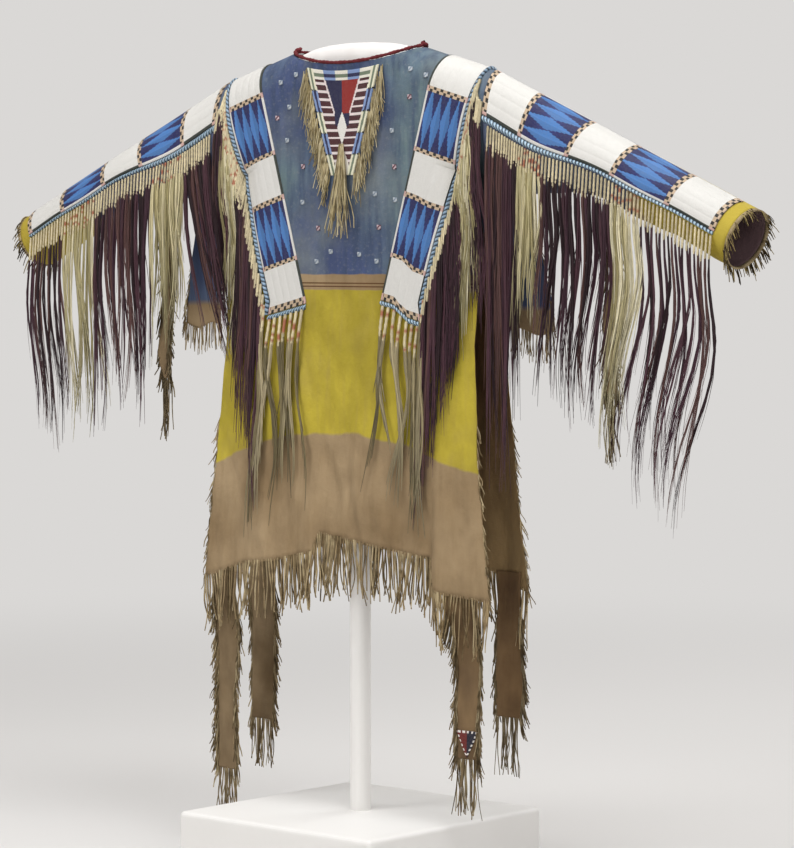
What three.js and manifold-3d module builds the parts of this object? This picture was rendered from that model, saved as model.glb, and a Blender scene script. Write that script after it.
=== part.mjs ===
// A beaded hide war shirt, filled out on a display stand.
// Millimetres. +Z is up, the shirt's front faces -Y, the origin is the middle of
// the plinth's underside. "left" is the -X side and "right" is the +X side.
import * as THREE from "three";
import Module from "manifold-3d";

const wasm = await Module();
wasm.setup();
const { Manifold, Mesh: SolidMesh } = wasm;

// ---- small helpers -------------------------------------------------------
const mix = (a, b, t) => a + (b - a) * t;
const smooth = (a, b, x) => {
  const t = Math.min(1, Math.max(0, (x - a) / (b - a)));
  return t * t * (3 - 2 * t);
};
// a table of [place, value] rows in rising order, read in straight steps
const read = (rows, x) => {
  if (x <= rows[0][0]) return rows[0][1];
  for (let i = 1; i < rows.length; i++)
    if (x <= rows[i][0])
      return mix(rows[i - 1][1], rows[i][1], (x - rows[i - 1][0]) / (rows[i][0] - rows[i - 1][0]));
  return rows[rows.length - 1][1];
};
const add = (a, b, k = 1) => [a[0] + b[0] * k, a[1] + b[1] * k, a[2] + b[2] * k];
const sub = (a, b) => add(a, b, -1);
const cross = (a, b) => [a[1] * b[2] - a[2] * b[1], a[2] * b[0] - a[0] * b[2], a[0] * b[1] - a[1] * b[0]];
const unit = (a) => { const l = Math.hypot(...a) || 1; return [a[0] / l, a[1] / l, a[2] / l]; };
const lerp = (a, b, t) => [mix(a[0], b[0], t), mix(a[1], b[1], t), mix(a[2], b[2], t)];
// a fixed uneven number in 0..1 for strand i
const uneven = (i, k = 0) => {
  const s = Math.sin(i * 12.9898 + k * 78.233) * 43758.5453;
  return s - Math.floor(s);
};

// one closed body from points and triangles, faces out
function solid(points, triangles) {
  const make = (t) => new Manifold(new SolidMesh({
    numProp: 3, vertProperties: new Float32Array(points.flat()), triVerts: new Uint32Array(t.flat()) }));
  const first = make(triangles);
  return first.volume() < 0 ? make(triangles.map(([a, b, c]) => [a, c, b])) : first;
}

// a wall between two grids of points (rows of columns); around closes the columns to a ring,
// and slant says for a row which way its facets are split
function wall(outer, inner, around = false, slant = () => false) {
  const rows = outer.length, cols = outer[0].length, R = rows - 1, C = cols - 1;
  const id = (layer, r, c) => (layer * rows + r) * cols + (c % cols);
  const t = [];
  const quad = (a, b, c, d) => t.push([a, b, c], [a, c, d]);
  const last = around ? cols : C;
  for (let c = 0; c < last; c++) {
    for (let r = 0; r < R; r++) {
      const o = [id(0, r, c), id(0, r + 1, c), id(0, r + 1, c + 1), id(0, r, c + 1)];
      const i = [id(1, r, c), id(1, r, c + 1), id(1, r + 1, c + 1), id(1, r + 1, c)];
      if (slant(r)) { o.push(o.shift()); i.push(i.shift()); }
      quad(...o);
      quad(...i);
    }
    quad(id(0, 0, c), id(0, 0, c + 1), id(1, 0, c + 1), id(1, 0, c));
    quad(id(0, R, c), id(1, R, c), id(1, R, c + 1), id(0, R, c + 1));
  }
  if (!around)
    for (let r = 0; r < R; r++) {
      quad(id(0, r, 0), id(1, r, 0), id(1, r + 1, 0), id(0, r + 1, 0));
      quad(id(0, r, C), id(0, r + 1, C), id(1, r + 1, C), id(1, r, C));
    }
  return solid([...outer.flat(), ...inner.flat()], t);
}

// a tapering strand or bar through the points of a path
function strand(path, radii, sides = 3, ref = [1, 0, 0], squash = 1) {
  const points = [], t = [], n = path.length;
  path.forEach((p, i) => {
    const dir = unit(sub(path[Math.min(i + 1, n - 1)], path[Math.max(i - 1, 0)]));
    const u = unit(sub(ref, dir.map((d) => d * (dir[0] * ref[0] + dir[1] * ref[1] + dir[2] * ref[2]))));
    const v = cross(dir, u);
    for (let k = 0; k < sides; k++) {
      const a = 2 * Math.PI * (k + 0.25) / sides;
      points.push(add(add(p, u, radii[i] * Math.cos(a)), v, radii[i] * squash * Math.sin(a)));
    }
  });
  for (let i = 0; i < n - 1; i++)
    for (let k = 0; k < sides; k++) {
      const a = i * sides + k, b = i * sides + (k + 1) % sides;
      t.push([a, b, b + sides], [a, b + sides, a + sides]);
    }
  for (let k = 1; k < sides - 1; k++) {
    t.push([0, k + 1, k]);
    const e = (n - 1) * sides;
    t.push([e, e + k, e + k + 1]);
  }
  return solid(points, t);
}

const shirt = new THREE.Group();
shirt.name = "beaded_war_shirt";
const looks = {
  hide: ["#c2a06a", 0.85, 0], beads: ["#d9d8cf", 0.35, 0], hair: ["#33201c", 0.6, 0],
  fringe: ["#9c8050", 0.9, 0], cloth: ["#b5342f", 0.9, 0], form: ["#e6e4e0", 0.8, 0],
  stand: ["#ecece9", 0.5, 0], post: ["#e4e4e2", 0.4, 0.1],
};
function keep(name, body, look) {
  const m = body.getMesh();
  const g = new THREE.BufferGeometry();
  const flat = new Float32Array((m.vertProperties.length / m.numProp) * 3);
  for (let i = 0; i < flat.length / 3; i++)
    for (let k = 0; k < 3; k++) flat[i * 3 + k] = m.vertProperties[i * m.numProp + k];
  g.setAttribute("position", new THREE.BufferAttribute(flat, 3));
  g.setIndex(new THREE.BufferAttribute(new Uint32Array(m.triVerts), 1));
  g.computeVertexNormals();
  const [color, roughness, metalness] = looks[look];
  const mesh = new THREE.Mesh(g, new THREE.MeshStandardMaterial({ color, roughness, metalness }));
  mesh.name = name;
  shirt.add(mesh);
}

// ---- the shirt's named sizes ----------------------------------------------
const hideThick = 2;           // thickness of the worked hide
const seam = 0.3;              // parting between pieces that are sewn together
const neckHalf = 155;          // half width of the neck opening
const neckRidge = 1470;        // height of the shoulder line beside the neck
const neckDip = { front: 27, back: 14 }, neckDeep = { front: 50, back: 46 };
const shoulderHalf = 320;      // where body and sleeve are sewn together
const shoulderRidge = 1422;
const shoulderRound = 60;      // drop over which the shoulder rounds into the chest
const armholeZ = 1327, armholeTall = 95, armholeDeep = 42;
const armpitZ = armholeZ - armholeTall;
const waistZ = 1020;           // lower end of the beaded strips
const sideWidth = [[510, 345], [700, 320], [950, 300], [1180, 308], [armpitZ, shoulderHalf]];
const bodyDepth = [[540, 68], [800, 56], [1000, 46], [1350, 44]];
const flankFrom = 0.62;        // share of the half width where the hide starts to draw in
const sideGape = { front: 43, back: 54 }, gapeReach = 180; // how far the open sides part
const foldTop = 1010, foldFull = 520;  // heights between which the hem's folds grow

// the columns of the hide from the left side to the right, with the folds of the hem
// name, x at the shoulder, x at the waist, x at the hem, front hem z, front fold, back hem z, back fold
const columns = [
  ["left side", -320, -300, -345, 505, 4, 512, 0],
  ["left side 2", -315, -262, -312, 513, 10, 520, 8],
  ["left side 3", -310, -222, -278, 524, 2, 532, 4],
  ["left strip outer", -305, -180, -245, 536, -6, 545, -6],
  ["left strip 2", -275, -150, -212, 541, 4, 553, 2],
  ["left strip 3", -245, -120, -178, 545, 8, 560, 9],
  ["left strip inner", -215, -90, -145, 549, -2, 566, 0],
  ["left chest", -185, -75, -115, 556, -6, 571, -8],
  ["left neck corner", -155, -60, -85, 562, 4, 575, -2],
  ["left neck 2", -120, -45, -57, 567, 10, 578, 8],
  ["left neck 3", -80, -30, -44, 603, -4, 580, 6],
  ["left neck 4", -40, -15, -22, 599, -10, 582, -4],
  ["middle", 0, 0, 4, 596, -8, 583, -8],
  ["right neck 4", 40, 15, 40, 593, -2, 582, 0],
  ["right neck 3", 80, 30, 78, 589, 5, 579, 9],
  ["right neck 2", 120, 45, 115, 583, -6, 575, 2],
  ["right neck corner", 155, 60, 150, 578, -10, 570, -8],
  ["right chest", 185, 75, 180, 576, -4, 564, 0],
  ["right strip inner", 215, 90, 206, 574, 2, 559, 8],
  ["right strip 3", 245, 120, 229, 572, 0, 555, 2],
  ["right strip 2", 275, 150, 242, 520, 20, 550, -6],
  ["right strip outer", 305, 180, 262, 515, 26, 544, 0],
  ["right side 3", 310, 222, 290, 511, 18, 533, 8],
  ["right side 2", 315, 262, 318, 506, 9, 521, 4],
  ["right side", 320, 300, 345, 501, 4, 510, 0],
];
const middle = 12;
const hemFold = (x, front) => read(columns.map((c) => [c[3], front ? c[5] : c[7]]), x);
// depth below the shoulder line of the armhole rows, then parts of the way to the hem
const armRows = 10;
const armholeDrops = Array.from({ length: armRows + 1 }, (_, k) => armholeTall * (1 - Math.cos(Math.PI * k / armRows)));
const hemParts = [0.1, 0.21, 0.345, 0.45, 0.58, 0.7, 0.81, 0.91, 1];
const stripEnd = armRows + 3;  // row where the beaded strips end
const hemRow = armRows + hemParts.length;

const topZ = (x, front) => {
  const a = Math.abs(x);
  if (a >= neckHalf) return mix(neckRidge, shoulderRidge, Math.min(1, (a - neckHalf) / (shoulderHalf - neckHalf)));
  return neckRidge - neckDip[front ? "front" : "back"] * (1 - (a / neckHalf) ** 2);
};
// how far the hide stands forward (front) or back (back) of the middle at a place
function depth(x, z, front) {
  const a = Math.abs(x), half = front ? "front" : "back";
  const body = read(bodyDepth, z);
  const neck = a < neckHalf ? neckDeep[half] * Math.sqrt(1 - (a / neckHalf) ** 2) : 0;
  const top = Math.max(seam / 2, neck);
  const h = Math.max(0, Math.min(1, (topZ(x, front) - z) / shoulderRound));
  const y = mix(top, body, Math.sqrt(1 - (1 - h) ** 2));
  const drop = Math.max(0, topZ(x, front) - z), low = hideThick + seam;
  const q = Math.min(1, Math.abs(1 - drop / armholeTall));
  const edge = drop <= 2 * armholeTall
    ? Math.max(drop > armholeTall ? low : seam / 2, armholeDeep * Math.sqrt(1 - q * q))
    : low + sideGape[half] * (1 - Math.exp((2 * armholeTall - drop) / gapeReach));
  const fold = hemFold(x, front) * smooth(foldTop, foldFull, z) ** 1.3;
  return mix(y, edge, smooth(flankFrom, 1, a / read(sideWidth, z))) + fold;
}

// the two hides as grids of points with the way out at each point
function hide(front) {
  const side = front ? -1 : 1;
  const grid = Array.from({ length: hemRow + 1 }, (_, r) => columns.map(([, top, waist, hem, fz, , bz], c) => {
    const z0 = topZ(top, front), hemZ = front ? fz : bz;
    const zA = z0 - armholeDrops[Math.min(r, armRows)];
    const z = r <= armRows ? zA : mix(zA, hemZ, hemParts[r - armRows - 1]);
    const t = Math.min(1, (z0 - z) / (z0 - waistZ));
    let x = z > waistZ ? mix(top, waist, t) : mix(waist, hem, (waistZ - z) / (waistZ - hemZ));
    if (c === 0 || c === columns.length - 1) x = Math.sign(top) * read(sideWidth, z);
    return [x, side * depth(x, z, front), z];
  }));
  const out = grid.map((row, r) => row.map((p, c) => {
    const across = sub(row[Math.min(c + 1, row.length - 1)], row[Math.max(c - 1, 0)]);
    const down = sub(grid[Math.min(r + 1, hemRow)][c], grid[Math.max(r - 1, 0)][c]);
    let n = unit(cross(across, down));
    if (front) n = n.map((v) => -v);
    if (r === 0 && Math.abs(columns[c][1]) >= neckHalf) n = unit([n[0], 0, Math.abs(n[2]) + 0.2]);
    if ((c === 0 || c === columns.length - 1) && r <= armRows) n = unit([0, n[1] + side * 1e-6, n[2]]);
    if ((c === 0 || c === columns.length - 1) && r === 0) n = [0, 0, 1];
    return n;
  }));
  // a place on the hide between columns and rows, moved out by "off"
  const at = (c, r, off) => {
    const c0 = Math.min(Math.floor(c), columns.length - 2), r0 = Math.min(Math.floor(r), hemRow - 1);
    const p = (i, j) => add(grid[j][i], out[j][i], off);
    const a = p(c0, r0), d = p(c0 + 1, r0 + 1), u = c - c0, v = r - r0;
    if (v > u) { const b = p(c0, r0 + 1); return add(add(a, sub(b, a), v), sub(d, b), u); }
    const b = p(c0 + 1, r0);
    return add(add(a, sub(b, a), u), sub(d, b), v);
  };
  const layer = (off) => grid.map((row, r) => row.map((p, c) => add(p, out[r][c], off)));
  return { grid, at, layer, front, side };
}
const frontHide = hide(true), backHide = hide(false);
keep("front_panel", wall(frontHide.layer(0), frontHide.layer(-hideThick)), "hide");
keep("back_panel", wall(backHide.layer(0), backHide.layer(-hideThick)), "hide");

// the hide's point at a given x and z, found by halving along a row and a column in turn
function onHide(h, x, z, off) {
  let c = middle, r = hemRow - 1;
  const halve = (low, high, above) => {
    for (let i = 0; i < 30; i++) {
      const mid = (low + high) / 2;
      if (above(mid)) high = mid; else low = mid;
    }
    return (low + high) / 2;
  };
  for (let i = 0; i < 8; i++) {
    c = halve(0, columns.length - 1.001, (v) => h.at(v, r, off)[0] > x);
    r = halve(armRows, hemRow, (v) => h.at(c, v, off)[2] < z);
  }
  return h.at(c, r, off);
}

// ---- sleeves ---------------------------------------------------------------
// each sleeve is a tube: oval at the armhole, round at the open cuff
const cuffX = 866, cuffRidge = 1180, cuffRadius = 52, droop = 22.5 * Math.PI / 180;
const sleeveRows = [0, 0.025, 0.09, 0.17, 0.26, 0.35, 0.45, 0.55, 0.65, 0.76, 0.86, 0.955, 1];
const around = 16, stripCols = 5, sleeveStripFirst = 1, sleeveStripLast = 11;
const sleeveUp = (s) => { const a = droop * smooth(0, 0.35, s); return [Math.sin(a), 0, Math.cos(a)]; };
const ridge = (s) => [mix(shoulderHalf + seam, cuffX, s), 0, mix(shoulderRidge, cuffRidge, s)];
// s along the sleeve, k steps around from the top towards the front, off outwards
function onSleeve(s, k, off) {
  const stripTo = mix(78, 90, smooth(0, 0.5, s));
  const deg = k <= stripCols ? stripTo * k / stripCols : mix(stripTo, 360, (k - stripCols) / (around - stripCols));
  const a = deg * Math.PI / 180;
  const deep = mix(armholeDeep, cuffRadius, smooth(0, 0.6, s));
  const tall = mix(armholeTall, cuffRadius, smooth(0, 0.6, s));
  const up = sleeveUp(s);
  const sag = (1 - Math.cos(a)) / 2 * 3 * Math.sin(s * 17) * smooth(0.05, 0.3, s) * smooth(1, 0.8, s);
  const heart = add(ridge(s), up, -tall);
  const p = add(heart, up, (tall + off) * Math.cos(a) + sag);
  return [p[0], p[1] - (deep + off) * Math.sin(a), p[2]];
}
const flip = (p, side) => [p[0] * side, p[1], p[2]];
const sides = [["left", -1], ["right", 1]];
// a place on the sleeve's flat facets between rows and steps
function facet(row, k, off) {
  const r0 = Math.min(Math.floor(row), sleeveRows.length - 2), k0 = Math.floor(k);
  const p = (r, j) => onSleeve(sleeveRows[r], j, off);
  return lerp(lerp(p(r0, k0), p(r0, k0 + 1), k - k0), lerp(p(r0 + 1, k0), p(r0 + 1, k0 + 1), k - k0), row - r0);
}
for (const [name, side] of sides) {
  const ring = (s, off) => Array.from({ length: around }, (_, k) => flip(onSleeve(s, k, off), side));
  const tube = (off) => sleeveRows.map((s) => ring(s, off));
  keep(`sleeve_${name}`, wall(tube(0), tube(-hideThick), true), "hide");
  const strip = (off) => sleeveRows.slice(sleeveStripFirst, sleeveStripLast + 1)
    .map((s) => Array.from({ length: stripCols + 1 }, (_, k) => flip(onSleeve(s, k, off), side)));
  keep(`sleeve_strip_${name}`, wall(strip(hideThick + seam), strip(seam)), "beads");
}

// ---- beaded strips over the shoulders ---------------------------------------
const stripColumns = { left: [3, 4, 5, 6], right: [18, 19, 20, 21] };
for (const [name] of sides) {
  const cols = stripColumns[name];
  const layer = (off) => {
    const rows = [];
    for (let r = stripEnd; r >= 1; r--) rows.push(cols.map((c) => frontHide.at(c, r, off)));
    rows.push(cols.map((c) => lerp(frontHide.at(c, 0, off), backHide.at(c, 0, off), 0.5)));
    for (let r = 1; r <= stripEnd; r++) rows.push(cols.map((c) => backHide.at(c, r, off)));
    return rows;
  };
  keep(`shoulder_strip_${name}`, wall(layer(hideThick + seam), layer(seam), false, (r) => r < stripEnd), "beads");
}

// ---- hair locks ---------------------------------------------------------------
// a lock: thin root in the backing, full wrap below it, then a falling taper
function lock(i, root, outward, length, faceY) {
  const wave = (k) => (uneven(i, k) - 0.5);
  const down = (part, push, sway) => {
    const p = [root[0] + sway, root[1], root[2] - length * part];
    return [p[0] + outward[0] * push, faceY ? faceY(p[0], p[2]) : p[1] + outward[1] * push, p[2]];
  };
  return strand([root, down(0.12, 7, 4 * wave(1)), down(1, 6, 24 * wave(2))], [1.2, 5.4, 0.9], 3);
}
const lockDeep = 8;            // how far in front of the hide a lock's middle hangs
const sleeveLock = 450, bodyLock = 560, shoulderLock = 370, footLock = 360; // their lengths
const bodyLocks = 4;           // locks of the longest kind, on the right sleeve beside the body
for (const [name, side] of sides) {
  // along the lower edge of the sleeve strip
  const rows = Array.from({ length: sleeveStripLast - sleeveStripFirst + 1 }, (_, i) => i + sleeveStripFirst);
  const edge = (off) => rows.map((r) => [stripCols + 0.05, stripCols + 0.42].map((k) => flip(facet(r, k, off), side)));
  const parts = [wall(edge(3.4), edge(0.6))];
  const count = 22;
  for (let i = 0; i < count; i++) {
    const row = mix(sleeveStripFirst + 0.15, sleeveStripLast - 0.15, (i + 0.5) / count);
    const root = flip(facet(row, stripCols + 0.24, 2), side);
    const long = (side > 0 && i < bodyLocks ? bodyLock : sleeveLock) * mix(0.86, 1.06, uneven(i, 5 + side));
    parts.push(lock(i + 40 * side, root, [0, -1, 0], long, null));
  }
  keep(`sleeve_hair_${name}`, Manifold.union(parts), "hair");

  // along the outer edge and the lower end of the shoulder strip, front and back
  for (const h of [frontHide, backHide]) {
    const [c0, , , c3] = stripColumns[name];
    const outer = side < 0 ? c0 : c3, inner = side < 0 ? c3 : c0;
    const step = (r, mm) => { // mm outwards from the strip's outer edge, in columns
      const wide = Math.abs(h.at(outer + side, r, 0)[0] - h.at(outer, r, 0)[0]);
      return outer + side * Math.min(0.85, mm / wide);
    };
    // the backing is one ribbon, down the outer edge and then in along the lower end
    const border = [];
    for (let r = 1; r <= stripEnd; r++) border.push([[step(r, 0.7), r], [step(r, 8), r]]);
    border.push([[step(stripEnd, 0.7), stripEnd + 0.02], [step(stripEnd, 8), stripEnd + 0.14]]);
    for (const t of [0, 1 / 3, 2 / 3, 1]) {
      const c = mix(outer, inner, t);
      border.push([[c, stripEnd + 0.02], [c, stripEnd + 0.14]]);
    }
    const ribbon = (off) => border.map((pair) => pair.map(([c, r]) => h.at(c, r, off)));
    const pieces = [wall(ribbon(4.2), ribbon(1.8))];
    // a lock hangs clear of the fullest part of the hide above and just below it
    const face = (x, z) => h.side * (lockDeep
      + Math.max(...[-40, -20, 0, 25, 50, 100].map((up) => depth(x, Math.min(z + up, topZ(x, h.front)), h.front))));
    const n = h.front ? 9 : 7, m = h.front ? 5 : 4;
    for (let i = 0; i < n; i++) {
      const r = 2.2 + (stripEnd - 2.4) * Math.pow((i + 0.5) / n, 0.75);
      const long = shoulderLock * mix(0.86, 1.05, uneven(i, 9 + side));
      pieces.push(lock(i + 91 * side, h.at(step(r, 4.4), r, 3), [side, 0, 0], long, face));
    }
    for (let i = 0; i < m; i++) {
      const c = mix(inner + side * 0.15, outer, (i + 0.5) / m);
      const long = footLock * mix(0.9, 1.08, uneven(i, 14 + side));
      pieces.push(lock(i + 57 * side, h.at(c, stripEnd + 0.08, 3), [0, 0, 0], long, face));
    }
    keep(`shoulder_hair_${h.front ? "front" : "back"}_${name}`, Manifold.union(pieces), "hair");
  }
}

// ---- hem fringe ------------------------------------------------------------------
const hemDrop = 98, hemDrift = 16;   // length of a strand and how far it leans
const hemBacking = [0.8, 8];         // the backing's edges, below the hide's
for (const [name, h, count] of [["front", frontHide, 22], ["back", backHide, 18]]) {
  const rim = (off) => hemBacking.map((drop) => columns.map((_, c) => add(h.at(c, hemRow, off), [0, 0, -1], drop)));
  const parts = [wall(rim(0), rim(-hideThick))];
  for (let i = 0; i < count; i++) {
    const c = 0.35 + (columns.length - 1.7) * (i + 0.5) / count;
    const p = add(h.at(c, hemRow, -1), [0, 0, -1], 5);
    const long = hemDrop * mix(0.85, 1.1, uneven(i, 3));
    const foot = [p[0] + hemDrift * (uneven(i, 2) - 0.5), p[1] + h.side * 2, p[2] - long];
    parts.push(strand([p, foot], [1.6, 0.9], 3));
  }
  keep(`hem_fringe_${name}`, Manifold.union(parts), "fringe");
}

// ---- the long legs of the hides ------------------------------------------------------
// each hangs from behind the hem and ends in fringe; "end" is the hide's end, "tip" the fringe's
const legHalf = 28;            // half width
const legDeep = { front: 46, back: 58 }; // how far a leg hangs from the middle
const legRows = [548, 530, 505, 470, 410, 360, 310, 270]; // heights of its rows above its end
const legTuck = { front: 1.3, back: 0.9 }; // how far behind the hide its top lies
const legEdge = [0.5, 5];      // the fringed border's edges, out from the leg's
const legs = [
  ["front_left", -293, true, 150, 62], ["front_right", 293, true, 226, 118],
  ["back_left", -300, false, 232, 134], ["back_right", 300, false, 290, 178],
];
for (const [name, x0, front, end, tip] of legs) {
  const side = front ? -1 : 1, which = front ? "front" : "back";
  const h = front ? frontHide : backHide;
  const rows = [...legRows];
  for (const z of [end + 40, end]) if (z < rows[rows.length - 1] - 5) rows.push(z);
  while (rows[rows.length - 1] < end) rows.pop();
  if (rows[rows.length - 1] > end) rows.push(end);
  const half = (z) => legHalf * mix(0.86, 1.03, smooth(200, 520, z)) + 1.5 * Math.sin(z / 37 + x0);
  const legY = (x, z) => {
    const tucked = onHide(h, x, z, -hideThick - legTuck[which]);
    return mix(side * legDeep[which], tucked[1], smooth(430, 500, z))
      + (z < 310 ? 0 : 3 * Math.sin((z - 310) / 45) * smooth(505, 440, z));
  };
  const place = (x, z, off) => [x, legY(x, z) + side * off, z];
  const wide = [-1, -0.5, 0, 0.5, 1];
  const layer = (off) => rows.map((z) => wide.map((w) => place(x0 + w * half(z), z, off)));
  keep(`leg_${name}`, wall(layer(0), layer(-hideThick)), "hide");

  // narrow fringed border down both edges and across the end
  const low = rows.filter((z) => z <= 475 && z > end);
  const beside = (w, z, m, dz = 0) => (off) => place(x0 + w * (half(z) + m), z - dz, off);
  const [near, far] = legEdge;
  const border = [
    ...low.map((z) => [beside(-1, z, near), beside(-1, z, far)]),
    [beside(-1, end, near, near), beside(-1, end, far, far + 1)],
    [(off) => place(x0, end - near, off), (off) => place(x0, end - far - 1, off)],
    [beside(1, end, near, near), beside(1, end, far, far + 1)],
    ...low.map((z) => [beside(1, z, near), beside(1, z, far)]).reverse(),
  ];
  const ribbon = (off) => border.map((pair) => pair.map((at) => at(off)));
  const parts = [wall(ribbon(0), ribbon(-hideThick))];
  for (const w of [-1, 1])
    for (let i = 0; i < 3; i++) {
      const z = mix(low[1] - 3, end + 35, i / 2), x = x0 + w * (half(z) + 3);
      parts.push(strand([place(x, z, -1), place(x + w * 9, z - 28, -1)], [0.9, 0.9], 3));
    }
  for (let i = 0; i < 5; i++) {
    const x = x0 + (i - 2) * half(end) * 0.44, z = end - 4;
    const foot = place(x + 12 * (uneven(i, x0 + 2) - 0.5), tip + 10 * uneven(i, 7), -1);
    parts.push(strand([place(x, z, -1), foot], [1.3, 1], 3));
  }
  keep(`leg_fringe_${name}`, Manifold.union(parts), "fringe");
  if (name === "front_right") {
    // the small beaded triangle on the lower end of this leg: x from its middle, z above its end
    const corners = [[-21, 50], [21, 50], [0, 4]];
    const tri = (off) => corners.map(([x, z]) => [x0 + x, side * (legDeep.front + off), end + z]);
    const faces = [[0, 1, 2], [3, 5, 4], [0, 3, 4], [0, 4, 1], [1, 4, 5], [1, 5, 2], [2, 5, 3], [2, 3, 0]];
    keep("leg_triangle", solid([...tri(seam + 1.8), ...tri(seam)], faces), "beads");
  }
}

// ---- bib, its fringe and tassel ---------------------------------------------------------
const bibTip = 1246;           // lower end
const bibHalf = 86, bibTipHalf = 26, bibBelowNeck = 11;
const bibWall = [1.3, 4.0];    // its two faces, out from the hide
const bibEdge = (t) => mix(bibHalf, bibTipHalf, t);
const bibZ = (x, t) => mix(topZ(x, true) - bibBelowNeck, bibTip, t);
// a place on the front hide, moved out
const onFront = (x, z, off) => [x, -(depth(x, z, true) + off), z];
{
  const across = [-1, -0.5, 0, 0.5, 1], down = [0, 0.12, 0.25, 0.38, 0.5, 0.62, 0.75, 0.88, 1];
  const layer = (off) => down.map((t) => across.map((w) => {
    const x = w * bibEdge(t);
    return onFront(x, bibZ(x, t), off);
  }));
  keep("bib", wall(layer(bibWall[1]), layer(bibWall[0])), "beads");
  // the fringe's backing: one ribbon down one edge, across the lower end and up the other
  const ribbonIn = 0.6, ribbonOut = 6.5;
  const beside = (w, t, gap, off) => {
    const x = w * bibEdge(t);
    return onFront(x + w * gap, bibZ(x, t), off);
  };
  const below = (x, gap) => (off) => onFront(x, bibTip - gap, off);
  const border = [
    ...down.map((t) => [ribbonIn, ribbonOut].map((gap) => (off) => beside(-1, t, gap, off))),
    [below(-bibTipHalf, ribbonIn), below(-bibTipHalf, ribbonOut)],
    [below(0, ribbonIn), below(0, ribbonOut)],
    [below(bibTipHalf, ribbonIn), below(bibTipHalf, ribbonOut)],
    ...down.map((t) => [ribbonIn, ribbonOut].map((gap) => (off) => beside(1, t, gap, off))).reverse(),
  ];
  const ribbon = (off) => border.map((pair) => pair.map((at) => at(off)));
  const parts = [wall(ribbon(4), ribbon(1.8))];
  const strandsEach = 6, strandDrop = 30, strandOut = 8;
  for (const w of [-1, 1])
    for (let i = 0; i < strandsEach; i++) {
      const p = beside(w, mix(0.08, 0.86, i / (strandsEach - 1)), 3.6, 2.9);
      parts.push(strand([p, onFront(p[0] + w * strandOut, p[2] - strandDrop, 3.4)], [0.9, 0.9], 3));
    }
  // the tassel below the lower end: drop below it, distance out, radius
  const tassel = [[3, 2.9, 1], [16, 6, 4], [60, 9, 6], [100, 9, 7]];
  parts.push(strand(tassel.map(([drop, off]) => onFront(0, bibTip - drop, off)), tassel.map((row) => row[2]), 4));
  keep("bib_fringe", Manifold.union(parts), "fringe");
}

// ---- neck binding -----------------------------------------------------------------------
{
  const loop = [];
  const n = 24, sides = 6, thick = 4.4, above = 5.2; // its radius and its height over the edge
  for (let i = 0; i < n; i++) {
    const a = 2 * Math.PI * i / n, x = (neckHalf - 2) * Math.cos(a), front = Math.sin(a) < 0;
    loop.push([x, neckDeep[front ? "front" : "back"] * Math.sin(a), topZ(x * 1.01, front) + above]);
  }
  const ring = loop.map((p, i) => {
    const dir = unit(sub(loop[(i + 1) % n], loop[(i + n - 1) % n]));
    const u = unit([dir[1], -dir[0], 0]);
    return Array.from({ length: sides }, (_, k) => {
      const a = 2 * Math.PI * k / sides;
      return add(add(p, u, thick * Math.cos(a)), [0, 0, 1], thick * Math.sin(a));
    });
  });
  const t = [];
  for (let i = 0; i < n; i++)
    for (let k = 0; k < sides; k++) {
      const here = i * sides, next = ((i + 1) % n) * sides, j = (k + 1) % sides;
      t.push([here + k, here + j, next + j], [here + k, next + j, next + k]);
    }
  keep("neck_binding", solid(ring.flat(), t), "cloth");
}

// ---- pieces under the arms ------------------------------------------------------------------
const cuffBacking = [0.5, 6], cuffDrop = [9, 0, -22]; // the backing's edges past the cuff; a strand
// height of the sleeve's underside at a distance from the middle
function underSleeve(x) {
  const lows = sleeveRows.map((s) => {
    const ring = Array.from({ length: around }, (_, k) => onSleeve(s, k, 0));
    const k = ring.findIndex((p, i) => i > stripCols && p[1] <= 0 && ring[i + 1][1] > 0);
    return lerp(ring[k], ring[k + 1], -ring[k][1] / (ring[k + 1][1] - ring[k][1]));
  });
  return read(lows.map((p) => [p[0], p[2]]), x);
}
for (const [name, side] of sides) {
  // the painted flap below the armpit: height (0 for the sleeve's underside) and span in x
  const flapRows = [[0, 352, 402], [1150, 350, 416], [1090, 348, 430], [1030, 347, 440], [972, 348, 446]];
  const flap = (off) => flapRows.map(([z, a, b], i) => [a, (a + b) / 2, b]
    .map((x, j) => [side * x, off + (i ? 3 * Math.sin(i * 1.3 + j) : 0), z || underSleeve(x) - 1.5]));
  keep(`underarm_flap_${name}`, wall(flap(-1), flap(1)), "hide");
  // the narrow hide strip hanging from the sleeve's underside
  const x0 = side < 0 ? 496 : 572;
  const pendRows = [[0, 17], [1080, 17], [1000, 18], [920, 17], [840, 19], [742, 16]];
  const pend = (off) => pendRows.map(([z, w], i) => [-1, 1]
    .map((k) => [side * (x0 + k * w), off + 2 * Math.sin(i * 1.7), z || underSleeve(x0 + k * w) - 0.7]));
  keep(`sleeve_pendant_${name}`, wall(pend(-1), pend(1)), "hide");
  // short fringe round the cuff, its root ring parted from the sleeve's edge
  const out = [Math.cos(droop), 0, -Math.sin(droop)];
  const past = (m, off) => Array.from({ length: around }, (_, k) => flip(add(onSleeve(1, k, off), out, m), side));
  const rim = (off) => cuffBacking.map((m) => past(m, off));
  const parts = [wall(rim(0), rim(-hideThick), true)];
  for (let i = 0; i < 8; i++) {
    const k = (i * 2 + 0.5) % around, k0 = Math.floor(k);
    const p = add(lerp(onSleeve(1, k0, -1), onSleeve(1, (k0 + 1) % around, -1), k - k0), out, 4);
    parts.push(strand([p, add(p, cuffDrop)].map((q) => flip(q, side)), [0.9, 0.9], 3, [0, 1, 0]));
  }
  keep(`cuff_fringe_${name}`, Manifold.union(parts), "fringe");
}

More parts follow.
